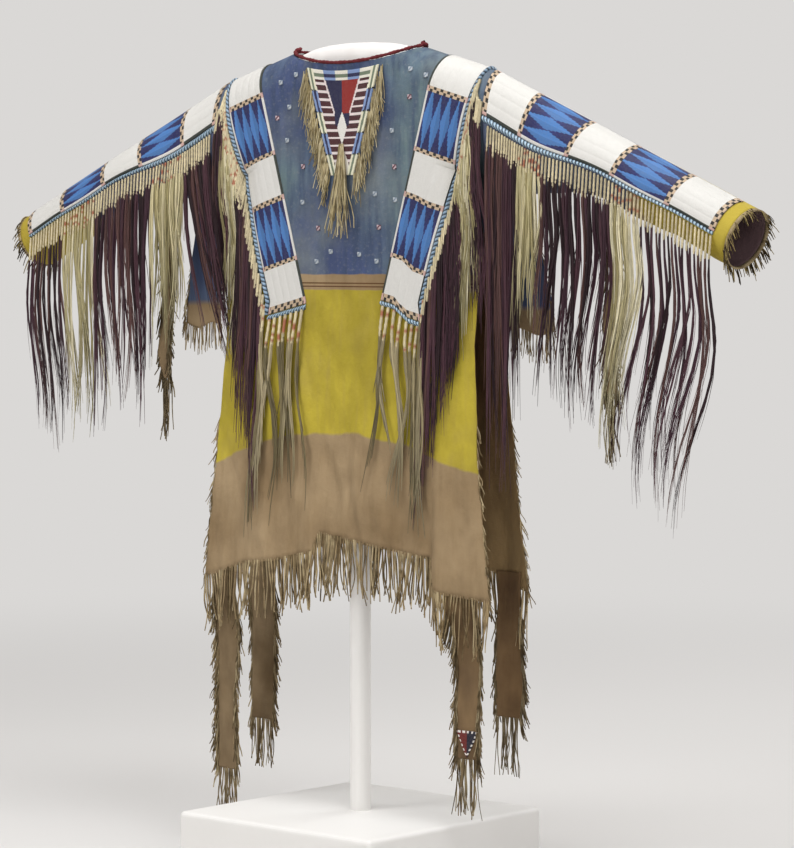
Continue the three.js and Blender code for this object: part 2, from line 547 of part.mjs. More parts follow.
// ---- the stand ----------------------------------------------------------------------------------
// padded shoulder form: level ovals from its flat underside to the dome in the neck
// height, half width, half depth
const formRows = [
  [1200, 176, 24], [1206, 190, 27], [1250, 240, 31], [1300, 268, 33], [1340, 276, 33],
  [1380, 272, 32], [1408, 262, 31], [1428, 238, 32], [1442, 205, 33], [1454, 168, 34],
  [1465, 140, 33], [1474, 115, 29], [1480, 80, 22], [1483, 36, 11],
];
const armBar = 20;             // radius of the padded bar in each sleeve
const plinthHigh = 100, postRadius = 19;
{
  const n = 20, points = [], t = [];
  for (const [z, w, d] of formRows)
    for (let k = 0; k < n; k++) points.push([w * Math.cos(2 * Math.PI * k / n), d * Math.sin(2 * Math.PI * k / n), z]);
  for (let r = 0; r < formRows.length - 1; r++)
    for (let k = 0; k < n; k++) {
      const a = r * n + k, b = r * n + (k + 1) % n;
      t.push([a, b, b + n], [a, b + n, a + n]);
    }
  const e = (formRows.length - 1) * n;
  for (let k = 1; k < n - 1; k++) { t.push([0, k + 1, k]); t.push([e, e + k, e + k + 1]); }
  const parts = [solid(points, t)];
  for (const [, side] of sides) {
    const under = (s) => add(ridge(s), sleeveUp(s), -(hideThick + 2 + armBar));
    const path = [[235, 0, 1390], [320, 0, 1383], under(0.2), under(0.35), under(0.6), under(0.9)];
    const radii = path.map((_, i) => (i ? armBar : armBar - 4));
    parts.push(strand(path.map((p) => flip(p, side)), radii, 8, [0, 1, 0]));
  }
  keep("padded_form", Manifold.union(parts), "form");
}
{
  const high = formRows[0][0] - plinthHigh;
  keep("post", Manifold.cylinder(high, postRadius, postRadius, 24).translate([0, 0, plinthHigh]), "post");
}
{
  // a low square plinth with softly rounded edges
  const half = 233, high = plinthHigh, soft = 9, foot = 1.5, lip = 0.5, n = 4;
  const ring = (inset, z) => {
    const pts = [];
    for (let q = 0; q < 4; q++)
      for (let k = 0; k <= n; k++) {
        const a = Math.PI / 2 * (q + k / n), r = soft - inset;
        const cx = (half - soft) * (q === 0 || q === 3 ? 1 : -1), cy = (half - soft) * (q < 2 ? 1 : -1);
        pts.push([cx + r * Math.cos(a), cy + r * Math.sin(a), z]);
      }
    return pts;
  };
  const levels = [[foot, 0], [0, foot]];
  for (let k = 0; k <= n; k++) {
    const a = Math.PI / 2 * k / n, bend = soft - lip;
    levels.push([bend * (1 - Math.cos(a)), high - bend * (1 - Math.sin(a))]);
  }
  const m = 4 * (n + 1), points = levels.flatMap(([i, z]) => ring(i, z)), t = [];
  for (let r = 0; r < levels.length - 1; r++)
    for (let k = 0; k < m; k++) {
      const a = r * m + k, b = r * m + (k + 1) % m;
      t.push([a, b, b + m], [a, b + m, a + m]);
    }
  const e = (levels.length - 1) * m;
  for (let k = 1; k < m - 1; k++) { t.push([0, k + 1, k]); t.push([e, e + k, e + k + 1]); }
  keep("plinth", solid(points, t), "stand");
}

export default shirt;
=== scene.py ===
"""A beaded hide war shirt, filled out on a padded display stand.

The file follows the shirt as it is put together: the two painted hides, the sleeves,
the beaded bands, the hair locks, the bib, the fringes and legs, then the stand.
Metres, +Z up, the shirt's front faces -Y; left is the -X side, right is the +X side.
"""

import math

import bpy
import numpy as np
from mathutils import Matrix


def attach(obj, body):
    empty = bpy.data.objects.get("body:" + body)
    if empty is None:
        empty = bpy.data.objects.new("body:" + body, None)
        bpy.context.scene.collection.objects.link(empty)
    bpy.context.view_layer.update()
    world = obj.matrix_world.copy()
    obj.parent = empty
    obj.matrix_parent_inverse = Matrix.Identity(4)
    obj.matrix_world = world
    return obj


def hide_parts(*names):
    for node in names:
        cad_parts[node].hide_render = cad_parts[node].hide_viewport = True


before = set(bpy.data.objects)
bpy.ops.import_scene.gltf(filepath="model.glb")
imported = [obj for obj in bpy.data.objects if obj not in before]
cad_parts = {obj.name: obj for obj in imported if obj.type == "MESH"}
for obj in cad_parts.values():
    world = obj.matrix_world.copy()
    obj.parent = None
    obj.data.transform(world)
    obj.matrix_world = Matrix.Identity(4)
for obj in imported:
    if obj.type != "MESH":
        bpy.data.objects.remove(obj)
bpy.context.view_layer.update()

# ---------------------------------------------------------------------------
# Camera, floor and studio light: the shirt is seen from its front right, from a
# little above its middle, in an even pale studio.
# ---------------------------------------------------------------------------
VIEW_TURN = math.radians(41.5)
VIEW_DISTANCE = 6.0
VIEW_ASIDE = 0.066
VIEW_HEIGHT = 1.114
VIEW_PITCH = math.radians(3.0)

camera_data = bpy.data.cameras.new("camera")
camera_data.lens = 141.5
camera_data.sensor_width = 36
camera = bpy.data.objects.new("camera", camera_data)
camera.location = (
    VIEW_DISTANCE * math.sin(VIEW_TURN) + VIEW_ASIDE * math.cos(VIEW_TURN),
    -VIEW_DISTANCE * math.cos(VIEW_TURN) + VIEW_ASIDE * math.sin(VIEW_TURN),
    VIEW_HEIGHT,
)
camera.rotation_euler = (math.pi / 2 - VIEW_PITCH, 0, VIEW_TURN)
bpy.context.scene.collection.objects.link(camera)
bpy.context.scene.camera = camera
bpy.context.scene.view_settings.view_transform = "Standard"


def srgb(text):
    """A hex colour as linear red, green and blue."""
    value = np.array([int(text[i:i + 2], 16) for i in (1, 3, 5)]) / 255
    return np.where(value <= 0.04045, value / 12.92, ((value + 0.055) / 1.055) ** 2.4)


def new_material(name):
    """An empty node material with its Principled shader; returns material, tree and shader."""
    material = bpy.data.materials.new(name)
    material.use_nodes = True
    tree = material.node_tree
    return material, tree, tree.nodes["Principled BSDF"]


def feed(tree, socket, value):
    """Links a socket to an input, or sets the input's own value."""
    if isinstance(value, bpy.types.NodeSocket):
        tree.links.new(value, socket)
    else:
        socket.default_value = value


def node(tree, kind, props=None, **inputs):
    """Adds a node; props are its settings, and inputs are values or sockets by name, or by
    number as i0, i1 and so on."""
    made = tree.nodes.new(kind)
    for key, value in (props or {}).items():
        setattr(made, key, value)
    for key, value in inputs.items():
        numbered = key[0] == "i" and key[1:].isdigit()
        feed(tree, made.inputs[int(key[1:]) if numbered else key.replace("_", " ")], value)
    return made


def mix(tree, factor, first, second, blend="MIX"):
    """Mixes two colours by a factor; a colour is a socket, a hex text or linear values."""
    made = tree.nodes.new("ShaderNodeMix")
    made.data_type = "RGBA"
    made.blend_type = blend
    feed(tree, made.inputs[0], factor)
    for place, value in ((6, first), (7, second)):
        if isinstance(value, str):
            value = srgb(value)
        feed(tree, made.inputs[place], value if isinstance(value, bpy.types.NodeSocket) else (*value, 1.0))
    return made.outputs[2]


def calc(tree, operation, first, second=0.0, third=0.0, clamp=False):
    """One Math node; each operand is a socket or a number."""
    props = {"operation": operation, "use_clamp": clamp}
    return node(tree, "ShaderNodeMath", props, i0=first, i1=second, i2=third).outputs[0]


def vector(tree, operation, first, second=(0.0, 0.0, 0.0), output="Vector"):
    """One Vector Math node."""
    return node(tree, "ShaderNodeVectorMath", {"operation": operation}, i0=first, i1=second).outputs[output]


def axes(tree, where):
    """The x, y and z of a place."""
    return node(tree, "ShaderNodeSeparateXYZ", Vector=where).outputs[:3]


def place_on(tree):
    """Where a point is on the object, and the same place's x, y and z."""
    where = tree.nodes.new("ShaderNodeTexCoord").outputs["Object"]
    return where, *axes(tree, where)


def finish(tree, shader, colour, rough, gloss):
    """Feeds the colour and sets the roughness and the strength of the reflection."""
    tree.links.new(colour, shader.inputs["Base Color"])
    shader.inputs["Roughness"].default_value = rough
    shader.inputs["Specular IOR Level"].default_value = gloss


FLOOR_HALF = 30
floor_mesh = bpy.data.meshes.new("studio_floor")
floor_corners = [(x * FLOOR_HALF, y * FLOOR_HALF, 0) for x, y in ((-1, -1), (1, -1), (1, 1), (-1, 1))]
floor_mesh.from_pydata(floor_corners, [], [(0, 1, 2, 3)])
floor = bpy.data.objects.new("studio_floor", floor_mesh)
bpy.context.scene.collection.objects.link(floor)
# the floor fades with distance into the even light of the studio, so no edge of it shows
STUDIO, FLOOR_PAINT = srgb("#dad8d6"), srgb("#d9d7d5")
FADE_NEAR, FADE_FAR = 0.8, 5.0
floor_material, floor_tree, floor_shader = new_material("pale_floor")
spread = vector(floor_tree, "LENGTH", place_on(floor_tree)[0], output="Value")
far = node(floor_tree, "ShaderNodeMapRange", {"interpolation_type": "SMOOTHSTEP"},
           Value=spread, From_Min=FADE_NEAR, From_Max=FADE_FAR).outputs["Result"]
finish(floor_tree, floor_shader, mix(floor_tree, far, FLOOR_PAINT, (0, 0, 0)), 0.9, 0.0)
floor_tree.links.new(mix(floor_tree, far, (0, 0, 0), STUDIO), floor_shader.inputs["Emission Color"])
floor_shader.inputs["Emission Strength"].default_value = 1.0
floor_mesh.materials.append(floor_material)

# the world lights the shirt a little less than the camera sees it
WORLD_LIGHT = 0.55
world = bpy.data.worlds.new("studio")
bpy.context.scene.world = world
world.use_nodes = True
background = world.node_tree.nodes["Background"]
background.inputs["Color"].default_value = (*STUDIO, 1)
seen = world.node_tree.nodes.new("ShaderNodeLightPath").outputs["Is Camera Ray"]
strength = calc(world.node_tree, "MULTIPLY_ADD", seen, 1 - WORLD_LIGHT, WORLD_LIGHT)
world.node_tree.links.new(strength, background.inputs["Strength"])


def soft_light(name, place, aim, size, power):
    """A square area light at a place, turned to face a point."""
    data = bpy.data.lights.new(name, "AREA")
    data.size = size
    data.energy = power
    light = bpy.data.objects.new(name, data)
    light.location = place
    way = np.array(aim) - np.array(place)
    flat = math.hypot(way[0], way[1])
    light.rotation_euler = (math.atan2(flat, -way[2]), 0, math.atan2(way[1], way[0]) - math.pi / 2)
    bpy.context.scene.collection.objects.link(light)


soft_light("key", (-1.6, -4.4, 3.4), (0, 0, 1.0), 2.2, 80)
soft_light("side", (4.8, -2.2, 2.6), (0, 0, 0.9), 2.6, 56)
soft_light("above", (0.6, -0.8, 4.6), (0, 0, 0.1), 2.4, 126)
soft_light("back", (0.5, 4.2, 3.2), (0, 0, 1.0), 2.6, 70)

# ---------------------------------------------------------------------------
# The two hides: large worked hides, joined along the shoulder line, painted blue above
# and yellow below, left plain at the hem, with the folds and creases of soft hide.
# ---------------------------------------------------------------------------
HIDE_THICK = 0.002
SEAM = 0.0003
NECK_HALF = 0.155
NECK_RIDGE = 1.470
NECK_DIP = {-1: 0.027, 1: 0.014}       # how far the opening sinks in the middle, front and back
NECK_DEEP = {-1: 0.050, 1: 0.046}
SHOULDER_HALF = 0.320
SHOULDER_RIDGE = 1.422
SHOULDER_ROUND = 0.060
ARM_TALL = 0.095
ARM_DEEP = 0.042
WAIST = 1.020
FOLD_TOP, FOLD_LOW = 1.010, 0.520      # the folds grow from the first height to the second
FRONT, BACK = -1, 1
FACINGS = ((FRONT, "front"), (BACK, "back"))
SIDE_WIDTH = np.array([(0.510, 0.345), (0.700, 0.320), (0.950, 0.300), (1.180, 0.308), (1.232, 0.320)]).T
BODY_DEPTH = np.array([(0.540, 0.068), (0.800, 0.056), (1.000, 0.046), (1.350, 0.044)]).T
# columns of the hide from left to right: x at the shoulder, waist and hem,
# front hem height and fold, back hem height and fold, in millimetres
COLUMNS = np.array([
    (-320, -300, -345, 505, 4, 512, 0), (-315, -262, -312, 513, 10, 520, 8),
    (-310, -222, -278, 524, 2, 532, 4), (-305, -180, -245, 536, -6, 545, -6),
    (-275, -150, -212, 541, 4, 553, 2), (-245, -120, -178, 545, 8, 560, 9),
    (-215, -90, -145, 549, -2, 566, 0), (-185, -75, -115, 556, -6, 571, -8),
    (-155, -60, -85, 562, 4, 575, -2), (-120, -45, -57, 567, 10, 578, 8),
    (-80, -30, -44, 603, -4, 580, 6), (-40, -15, -22, 599, -10, 582, -4),
    (0, 0, 4, 596, -8, 583, -8), (40, 15, 40, 593, -2, 582, 0),
    (80, 30, 78, 589, 5, 579, 9), (120, 45, 115, 583, -6, 575, 2),
    (155, 60, 150, 578, -10, 570, -8), (185, 75, 180, 576, -4, 564, 0),
    (215, 90, 206, 574, 2, 559, 8), (245, 120, 229, 572, 0, 555, 2),
    (275, 150, 242, 520, 20, 550, -6), (305, 180, 262, 515, 26, 544, 0),
    (310, 222, 290, 511, 18, 533, 8), (315, 262, 318, 506, 9, 521, 4),
    (320, 300, 345, 501, 4, 510, 0),
]) / 1000
LAST_COLUMN = len(COLUMNS) - 1
ARM_ROWS = 10
HEM_PARTS = [0, 0.1, 0.21, 0.345, 0.45, 0.58, 0.7, 0.81, 0.91, 1]
STRIP_END = ARM_ROWS + 3
HEM_ROW = ARM_ROWS + len(HEM_PARTS) - 1


def ease(low, high, x):
    """Smooth step from 0 at low to 1 at high."""
    t = np.clip((x - low) / (high - low), 0, 1)
    return t * t * (3 - 2 * t)


def softened(places, values, width):
    """A table read in straight steps, blurred over a width, as dense places and values."""
    dense = np.linspace(places[0], places[-1], 600)
    raw = np.interp(dense, places, values)
    gap = dense[:, None] - dense[None, :]
    weight = np.exp(-(gap / width) ** 2)
    return dense, (weight * raw).sum(1) / weight.sum(1)


FOLDS = {
    FRONT: softened(COLUMNS[:, 2], COLUMNS[:, 4], 0.012),
    BACK: softened(COLUMNS[:, 2], COLUMNS[:, 6], 0.012),
}


def shoulder_z(x, side):
    """Height of the neck opening or of the shoulder line at x."""
    a = np.abs(x)
    down = np.clip((a - NECK_HALF) / (SHOULDER_HALF - NECK_HALF), 0, 1)
    line = NECK_RIDGE + (SHOULDER_RIDGE - NECK_RIDGE) * down
    return np.where(a >= NECK_HALF, line, NECK_RIDGE - NECK_DIP[side] * (1 - (a / NECK_HALF) ** 2))


# creases pressed in the hide: x and z of both ends, width across, depth (below 0 is a trough)
CREASES = {
    FRONT: [
        (0.010, 0.80, 0.030, 0.66, 0.010, -0.0035), (0.034, 0.79, 0.060, 0.62, 0.011, 0.0045),
        (-0.030, 0.76, 0.000, 0.63, 0.012, -0.0030), (0.075, 0.70, 0.120, 0.60, 0.014, 0.0040),
        (-0.200, 0.93, -0.150, 0.70, 0.016, 0.0035), (-0.230, 0.80, -0.120, 0.62, 0.013, -0.0035),
        (-0.270, 0.74, -0.180, 0.58, 0.015, 0.0040), (-0.120, 0.70, -0.060, 0.60, 0.010, 0.0030),
        (0.150, 0.86, 0.215, 0.60, 0.015, -0.0055), (0.215, 0.88, 0.260, 0.56, 0.014, 0.0050),
        (0.250, 0.72, 0.320, 0.60, 0.012, -0.0035), (0.090, 0.92, 0.060, 0.80, 0.014, -0.0030),
        (-0.080, 0.95, -0.100, 0.76, 0.015, 0.0030), (0.020, 1.20, 0.050, 1.06, 0.020, -0.0016),
        (-0.060, 1.26, -0.030, 1.08, 0.018, 0.0016), (-0.150, 1.34, -0.060, 1.24, 0.018, 0.0012),
        (0.120, 1.36, 0.060, 1.22, 0.020, -0.0014), (0.000, 0.98, -0.020, 0.86, 0.016, 0.0024),
    ],
    BACK: [
        (-0.030, 0.84, 0.010, 0.64, 0.014, -0.0040), (0.050, 0.80, 0.090, 0.62, 0.014, 0.0045),
        (-0.140, 0.90, -0.100, 0.66, 0.016, 0.0040), (-0.250, 0.82, -0.200, 0.60, 0.014, -0.0035),
        (0.180, 0.90, 0.220, 0.60, 0.016, -0.0045), (0.260, 0.76, 0.290, 0.58, 0.013, 0.0035),
        (0.000, 1.28, 0.020, 1.06, 0.020, 0.0018), (-0.070, 1.34, -0.030, 1.14, 0.020, -0.0016),
        (0.110, 1.30, 0.070, 1.10, 0.020, -0.0014), (-0.060, 0.72, -0.040, 0.60, 0.010, 0.0030),
    ],
}


def crease_height(x, z, side):
    """Sum of soft ridges: each is a bell across its line, fading out past its two ends; and a
    low crumple of crossing waves that fades out above the waist."""
    total = np.zeros(np.broadcast(x, z).shape)
    for x0, z0, x1, z1, width, height in CREASES[side]:
        dx, dz = x1 - x0, z1 - z0
        long = math.hypot(dx, dz)
        along = ((x - x0) * dx + (z - z0) * dz) / long ** 2
        bend = 0.006 * np.sin(along * 5 + x0 * 40)
        across = ((x - x0) * dz - (z - z0) * dx) / long + bend
        fade = np.exp(-np.clip(np.abs(along - 0.5) - 0.38, 0, None) ** 2 / 0.03)
        total = total + height * np.exp(-(across / width) ** 2) * fade
    crossing = np.sin(x * 97 + 2.1 * np.sin(z * 31)) * np.sin(z * 61 + 1.7 * np.sin(x * 43))
    crumple = crossing + 0.6 * np.sin(x * 151 + z * 47)
    return total + 0.0011 * crumple * ease(1.05, 0.85, z)


def hide_depth(x, z, side):
    """How far the hide stands out from the middle: round over the shoulder, flat on the
    chest, closing to the armhole's oval at the sides and opening again to the hem's folds."""
    a = np.abs(x)
    body = np.interp(z, *BODY_DEPTH)
    neck = NECK_DEEP[side] * np.sqrt(np.clip(1 - (a / NECK_HALF) ** 2, 0, 1))
    rim = np.maximum(SEAM / 2, neck)
    drop = np.clip(shoulder_z(x, side) - z, 0, None)
    over = rim + (body - rim) * np.sqrt(1 - (1 - np.clip(drop / SHOULDER_ROUND, 0, 1)) ** 2)
    oval = ARM_DEEP * np.sqrt(1 - np.clip(np.abs(1 - drop / ARM_TALL), 0, 1) ** 2)
    low = HIDE_THICK + SEAM
    arm = np.maximum(np.where(drop > ARM_TALL, low, SEAM / 2), oval)
    widest = 0.043 if side == FRONT else 0.054
    open_side = low + widest * (1 - np.exp(np.clip(2 * ARM_TALL - drop, None, 0) / 0.180))
    edge = np.where(drop <= 2 * ARM_TALL, arm, open_side)
    y = over + (edge - over) * ease(0.62, 1, a / np.interp(z, *SIDE_WIDTH))
    return y + np.interp(x, *FOLDS[side]) * ease(FOLD_TOP, FOLD_LOW, z) ** 1.3


def hide_points(c, r, side):
    """Points of the outer face at column c and row r, counted from the left and the shoulder."""
    steps = np.arange(len(COLUMNS))
    top, waist, hem = (np.interp(c, steps, COLUMNS[:, i]) for i in range(3))
    hem_z = np.interp(c, steps, COLUMNS[:, 3 if side == FRONT else 5])
    z0 = shoulder_z(top, side)
    z_arm = z0 - ARM_TALL * (1 - np.cos(math.pi * np.minimum(r, ARM_ROWS) / ARM_ROWS))
    part = np.interp(r - ARM_ROWS, np.arange(len(HEM_PARTS)), HEM_PARTS)
    z = np.where(r <= ARM_ROWS, z_arm, z_arm + (hem_z - z_arm) * part)
    upper = top + (waist - top) * np.minimum(1, (z0 - z) / (z0 - WAIST))
    lower = waist + (hem - waist) * (WAIST - z) / (WAIST - hem_z)
    x = np.where(z > WAIST, upper, lower)
    rim = ease(0.0, 1.0, np.minimum(c, LAST_COLUMN - c))
    x = np.sign(top) * np.interp(z, *SIDE_WIDTH) * (1 - rim) + x * rim
    y = hide_depth(x, z, side) + crease_height(x, z, side) * ease(0, 2, r)
    return np.stack([x, side * y, z], -1)


def unit(vectors):
    """Vectors made one long."""
    return vectors / (np.linalg.norm(vectors, axis=-1, keepdims=True) + 1e-12)


def normals_of(points, outward, around=False):
    """Unit normals of a grid from the cross product of its two directions, turned outward."""
    if around:
        across = np.roll(points, -1, 1) - np.roll(points, 1, 1)
    else:
        across = np.gradient(points, axis=1)
    n = unit(np.cross(across, np.gradient(points, axis=0)))
    return n * np.sign((n * outward).sum(-1, keepdims=True) + 1e-9)


def grid_faces(rows, cols, around, first=0, turn=False):
    """Quads of a grid of points numbered row by row."""
    r = np.arange(rows - 1)[:, None]
    c = np.arange(cols if around else cols - 1)[None, :]
    a, b = r * cols + c, r * cols + (c + 1) % cols
    quad = np.stack([a, a + cols, b + cols, b], -1).reshape(-1, 4)
    return (quad[:, ::-1] if turn else quad) + first


def turned_out(faces, points, outward):
    """The faces, all turned over if the first of them looks against the outward direction."""
    a, b, c = (points.reshape(-1, 3)[i] for i in faces[0][:3])
    if np.dot(np.cross(b - a, c - b), outward) < 0:
        return faces[:, ::-1] if isinstance(faces, np.ndarray) else [face[::-1] for face in faces]
    return faces


def piece(name, points, faces, material, replaced=(), uv=None, tint=None):
    """Makes a mesh object at the origin; uv is given for each point, and tint for each point
    or for each face."""
    mesh = bpy.data.meshes.new(name)
    mesh.from_pydata(points.reshape(-1, 3).tolist(), [], [list(face) for face in faces])
    corner = np.empty(len(mesh.loops), int)
    mesh.loops.foreach_get("vertex_index", corner)
    if uv is not None:
        layer = mesh.uv_layers.new(name="cloth")
        layer.data.foreach_set("uv", uv.reshape(-1, 2)[corner].ravel())
    if tint is not None:
        colour = mesh.color_attributes.new("tint", "FLOAT_COLOR", "CORNER")
        tones = tint.reshape(-1, 3)
        rgba = np.ones((len(corner), 4))
        rgba[:, :3] = tones[corner] if len(tones) == len(mesh.vertices) else np.repeat(tones, 4, axis=0)
        colour.data.foreach_set("color", rgba.ravel())
    mesh.polygons.foreach_set("use_smooth", np.ones(len(mesh.polygons), bool))
    mesh.update()
    made = bpy.data.objects.new(name, mesh)
    bpy.context.scene.collection.objects.link(made)
    mesh.materials.append(material)
    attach(made, "root")
    if replaced:
        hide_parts(*replaced)
    return made


INSIDE = 4                     # how far the inner face's UV is moved, to tell it from the outer


def shell(name, outer, normals, material, replaced=(), around=False):
    """A wall of hide: the outer grid, the same grid moved in by the hide's thickness, and
    its edges."""
    rows, cols = outer.shape[:2]
    count = rows * cols
    ids = np.arange(count).reshape(rows, cols)
    edges = [(ids[0], False), (ids[-1], True)]
    if not around:
        edges += [(ids[:, 0], True), (ids[:, -1], False)]
    faces = [grid_faces(rows, cols, around), grid_faces(rows, cols, around, count, True)]
    for edge, turn in edges:
        here, following = (edge, np.roll(edge, -1)) if around else (edge[:-1], edge[1:])
        quad = np.stack([here, following, following + count, here + count], -1)
        faces.append(quad[:, ::-1] if turn else quad)
    points = np.concatenate([outer.reshape(-1, 3), (outer - normals * HIDE_THICK).reshape(-1, 3)])
    faces = turned_out(np.concatenate(faces), points, normals[0, 0])
    u, v = np.meshgrid(np.linspace(0, 1, cols), np.linspace(0, 1, rows))
    uv = np.stack([u, v], -1)
    return piece(name, points, faces, material, replaced, np.concatenate([uv, uv + (INSIDE, 0)]))


def stretch(tree, value, low, high, most=1.0):
    """Maps low..high of a value to 0..most, clamped."""
    made = node(tree, "ShaderNodeMapRange", Value=value, From_Min=low, From_Max=high, To_Max=most)
    return made.outputs["Result"]


def noise(tree, where, scale, detail=2.0, twist=0.0):
    """Noise in space, 0 to 1."""
    made = node(tree, "ShaderNodeTexNoise", Vector=where, Scale=scale, Detail=detail, Distortion=twist)
    return made.outputs["Fac"]


def drawn_out(tree, where, share):
    """The same place with its height shrunk, so that a noise read there runs in long marks."""
    return node(tree, "ShaderNodeMapping", Vector=where, Scale=(1.0, 1.0, share)).outputs["Vector"]


def layered(tree, colour, coats):
    """Lays coats over a colour, each given by its mask, the mask's values where the coat
    starts and is full, its greatest strength, and its colour."""
    for mask, start, full, most, coat in coats:
        colour = mix(tree, stretch(tree, mask, start, full, most), colour, coat)
    return colour


def bump(tree, shader, height, strength, depth):
    """Feeds a height to the shader's normal."""
    made = node(tree, "ShaderNodeBump", Strength=strength, Distance=depth, Height=height)
    tree.links.new(made.outputs["Normal"], shader.inputs["Normal"])


def cloth_uv(tree):
    """The UV laid along a piece's own grid."""
    return node(tree, "ShaderNodeUVMap", {"uv_map": "cloth"}).outputs["UV"]


def hide_grain():
    """Node group: fine grain, pores and soft wrinkles of worked hide as a height, with a
    cloudy mottle, long drag marks and the wrinkles alone."""
    group = bpy.data.node_groups.new("hide_grain", "ShaderNodeTree")
    group.interface.new_socket("Coarse", in_out="INPUT", socket_type="NodeSocketFloat").default_value = 9
    for name in ("Height", "Mottle", "Streak", "Wrinkle"):
        group.interface.new_socket(name, in_out="OUTPUT", socket_type="NodeSocketFloat")
    entry = group.nodes.new("NodeGroupInput")
    leave = group.nodes.new("NodeGroupOutput")
    where = place_on(group)[0]
    fine = noise(group, where, 650.0, 3.0)
    pores = noise(group, where, 120.0, 4.0)
    wrinkle = noise(group, drawn_out(group, where, 0.45), 34.0, 3.0)
    height = calc(group, "ADD", calc(group, "MULTIPLY", fine, 0.35), calc(group, "MULTIPLY", pores, 0.6))
    group.links.new(calc(group, "MULTIPLY_ADD", wrinkle, 4.0, height), leave.inputs["Height"])
    group.links.new(noise(group, where, entry.outputs["Coarse"], 5.0), leave.inputs["Mottle"])
    group.links.new(noise(group, drawn_out(group, where, 0.12), 70.0, 4.0), leave.inputs["Streak"])
    group.links.new(wrinkle, leave.inputs["Wrinkle"])
    return group


HIDE_GRAIN = hide_grain()
TAN_LIGHT, TAN_DARK, TAN_RAW = srgb("#aa9372"), srgb("#866f50"), srgb("#745739")


def use_grain(tree, coarse):
    """Places the hide grain group in a material, its mottle as coarse as asked, and returns
    its outputs by name."""
    made = node(tree, "ShaderNodeGroup", {"node_tree": HIDE_GRAIN}, Coarse=coarse)
    return made.outputs


def finish_hide(tree, shader, colour, grain, strength=0.5, crease_shade=0.0):
    """Feeds colour and grain to the shader, the colour darkened in the troughs of the wrinkles as painted
    crease shade.
    """
    if crease_shade:
        # painted shade: the colour darkened where the wrinkle bump dips
        trough = stretch(tree, grain["Wrinkle"], 0.62, 0.30, crease_shade)
        colour = mix(tree, trough, colour, mix(tree, 1.0, colour, "#8a8078", "MULTIPLY"))
    finish(tree, shader, colour, 0.86, 0.25)
    bump(tree, shader, grain["Height"], strength, 0.0018)


def inner_face_colour(tree, colour, inner):
    """Gives a hide's inner face its own colour, bare hide with painted shade of the hollow inside;
    the colour only on the outer face, told by the UV.
    """
    across = axes(tree, cloth_uv(tree))[0]
    return mix(tree, stretch(tree, across, INSIDE / 2, INSIDE / 2 + 0.01), colour, inner)


def mottled(tree, grain, dark, light, start=0.3, full=0.7):
    """Two colours by the grain's mottle."""
    return mix(tree, stretch(tree, grain["Mottle"], start, full), dark, light)


def plain_hide(name, light, dark, coarse=9.0):
    """Unpainted smoked hide: two tans by mottle, darker in the drag marks."""
    material, tree, shader = new_material(name)
    grain = use_grain(tree, coarse)
    colour = layered(tree, mottled(tree, grain, dark, light), [(grain["Streak"], 0.5, 0.75, 0.35, dark)])
    # the wrinkles' troughs get painted crease shade
    finish_hide(tree, shader, colour, grain, crease_shade=0.25)
    return material


YELLOW_LOW = 0.7845            # height of the yellow's lower border in the middle of the hide
BAND_LOW, BAND_TOP = 1.0415, 1.0701
STITCH_LINES = (1.0475, 1.0535)


def painted_hide():
    """Blue down to the waist, a tan band with two stitched lines, yellow below it, then bare
    tan hide; each border runs at its own height, wavering with the brush."""
    material, tree, shader = new_material("painted_hide")
    grain = use_grain(tree, 7.0)
    mottle, streak = grain["Mottle"], grain["Streak"]
    where, x, _, z = place_on(tree)
    waver = calc(tree, "SUBTRACT", noise(tree, where, 14.0, 3.0), 0.5)
    z_blue = calc(tree, "MULTIPLY_ADD", waver, 0.010, z)
    sideways = calc(tree, "MULTIPLY", calc(tree, "MULTIPLY", x, x), 0.62)
    z_hem = calc(tree, "ADD", calc(tree, "MULTIPLY_ADD", waver, 0.022, z), sideways)
    tan = layered(tree, mottled(tree, grain, TAN_DARK, TAN_LIGHT), [(streak, 0.5, 0.8, 0.35, "#806a4a")])
    yellow = layered(tree, mottled(tree, grain, "#9c8c2c", "#c0ad3c", 0.32, 0.68), [
        (streak, 0.50, 0.80, 0.45, "#a18d48"),
        (noise(tree, where, 9.0, 6.0), 0.52, 0.72, 0.40, "#9a8750"),
    ])
    cloud = stretch(tree, noise(tree, where, 3.4, 3.0), 0.42, 0.56)
    blue = layered(tree, mix(tree, cloud, "#66797d", "#485478"), [
        (streak, 0.42, 0.68, 0.85, "#3f4c66"),
        (mottle, 0.48, 0.72, 0.70, "#7b8280"),
        (noise(tree, where, 160.0, 5.0), 0.54, 0.70, 0.22, "#8d8f8c"),
    ])
    from_line = [calc(tree, "ABSOLUTE", calc(tree, "SUBTRACT", z, line)) for line in STITCH_LINES]
    colour = layered(tree, tan, [
        (z_hem, YELLOW_LOW - 0.0025, YELLOW_LOW + 0.0025, 1.0, yellow),
        (z_blue, BAND_LOW - 0.0010, BAND_LOW + 0.0010, 1.0, tan),
        (from_line[0], 0.0016, 0.0006, 1.0, "#5a3a20"),
        (from_line[1], 0.0016, 0.0006, 1.0, "#5a3a20"),
        (z_blue, BAND_TOP - 0.0011, BAND_TOP + 0.0011, 1.0, blue),
    ])
    # the inner face: bare dark hide, lighter towards the hem and darker higher up as painted shade inside the
    # shirt
    raw = layered(tree, mottled(tree, grain, TAN_RAW * 0.7, TAN_RAW), [
        (streak, 0.4, 0.7, 1.0, TAN_RAW * 0.55),
        (z, 0.88, 0.60, 1.0, "#8c7450"),
    ])
    # the wrinkles' troughs get painted crease shade
    finish_hide(tree, shader, inner_face_colour(tree, colour, raw), grain, 0.8, crease_shade=0.22)
    return material


PAINTED = painted_hide()
SMOKED = plain_hide("smoked_hide", TAN_LIGHT, TAN_DARK)
HIDE_GRID = (100, 113)         # rows and columns of the modelled hide

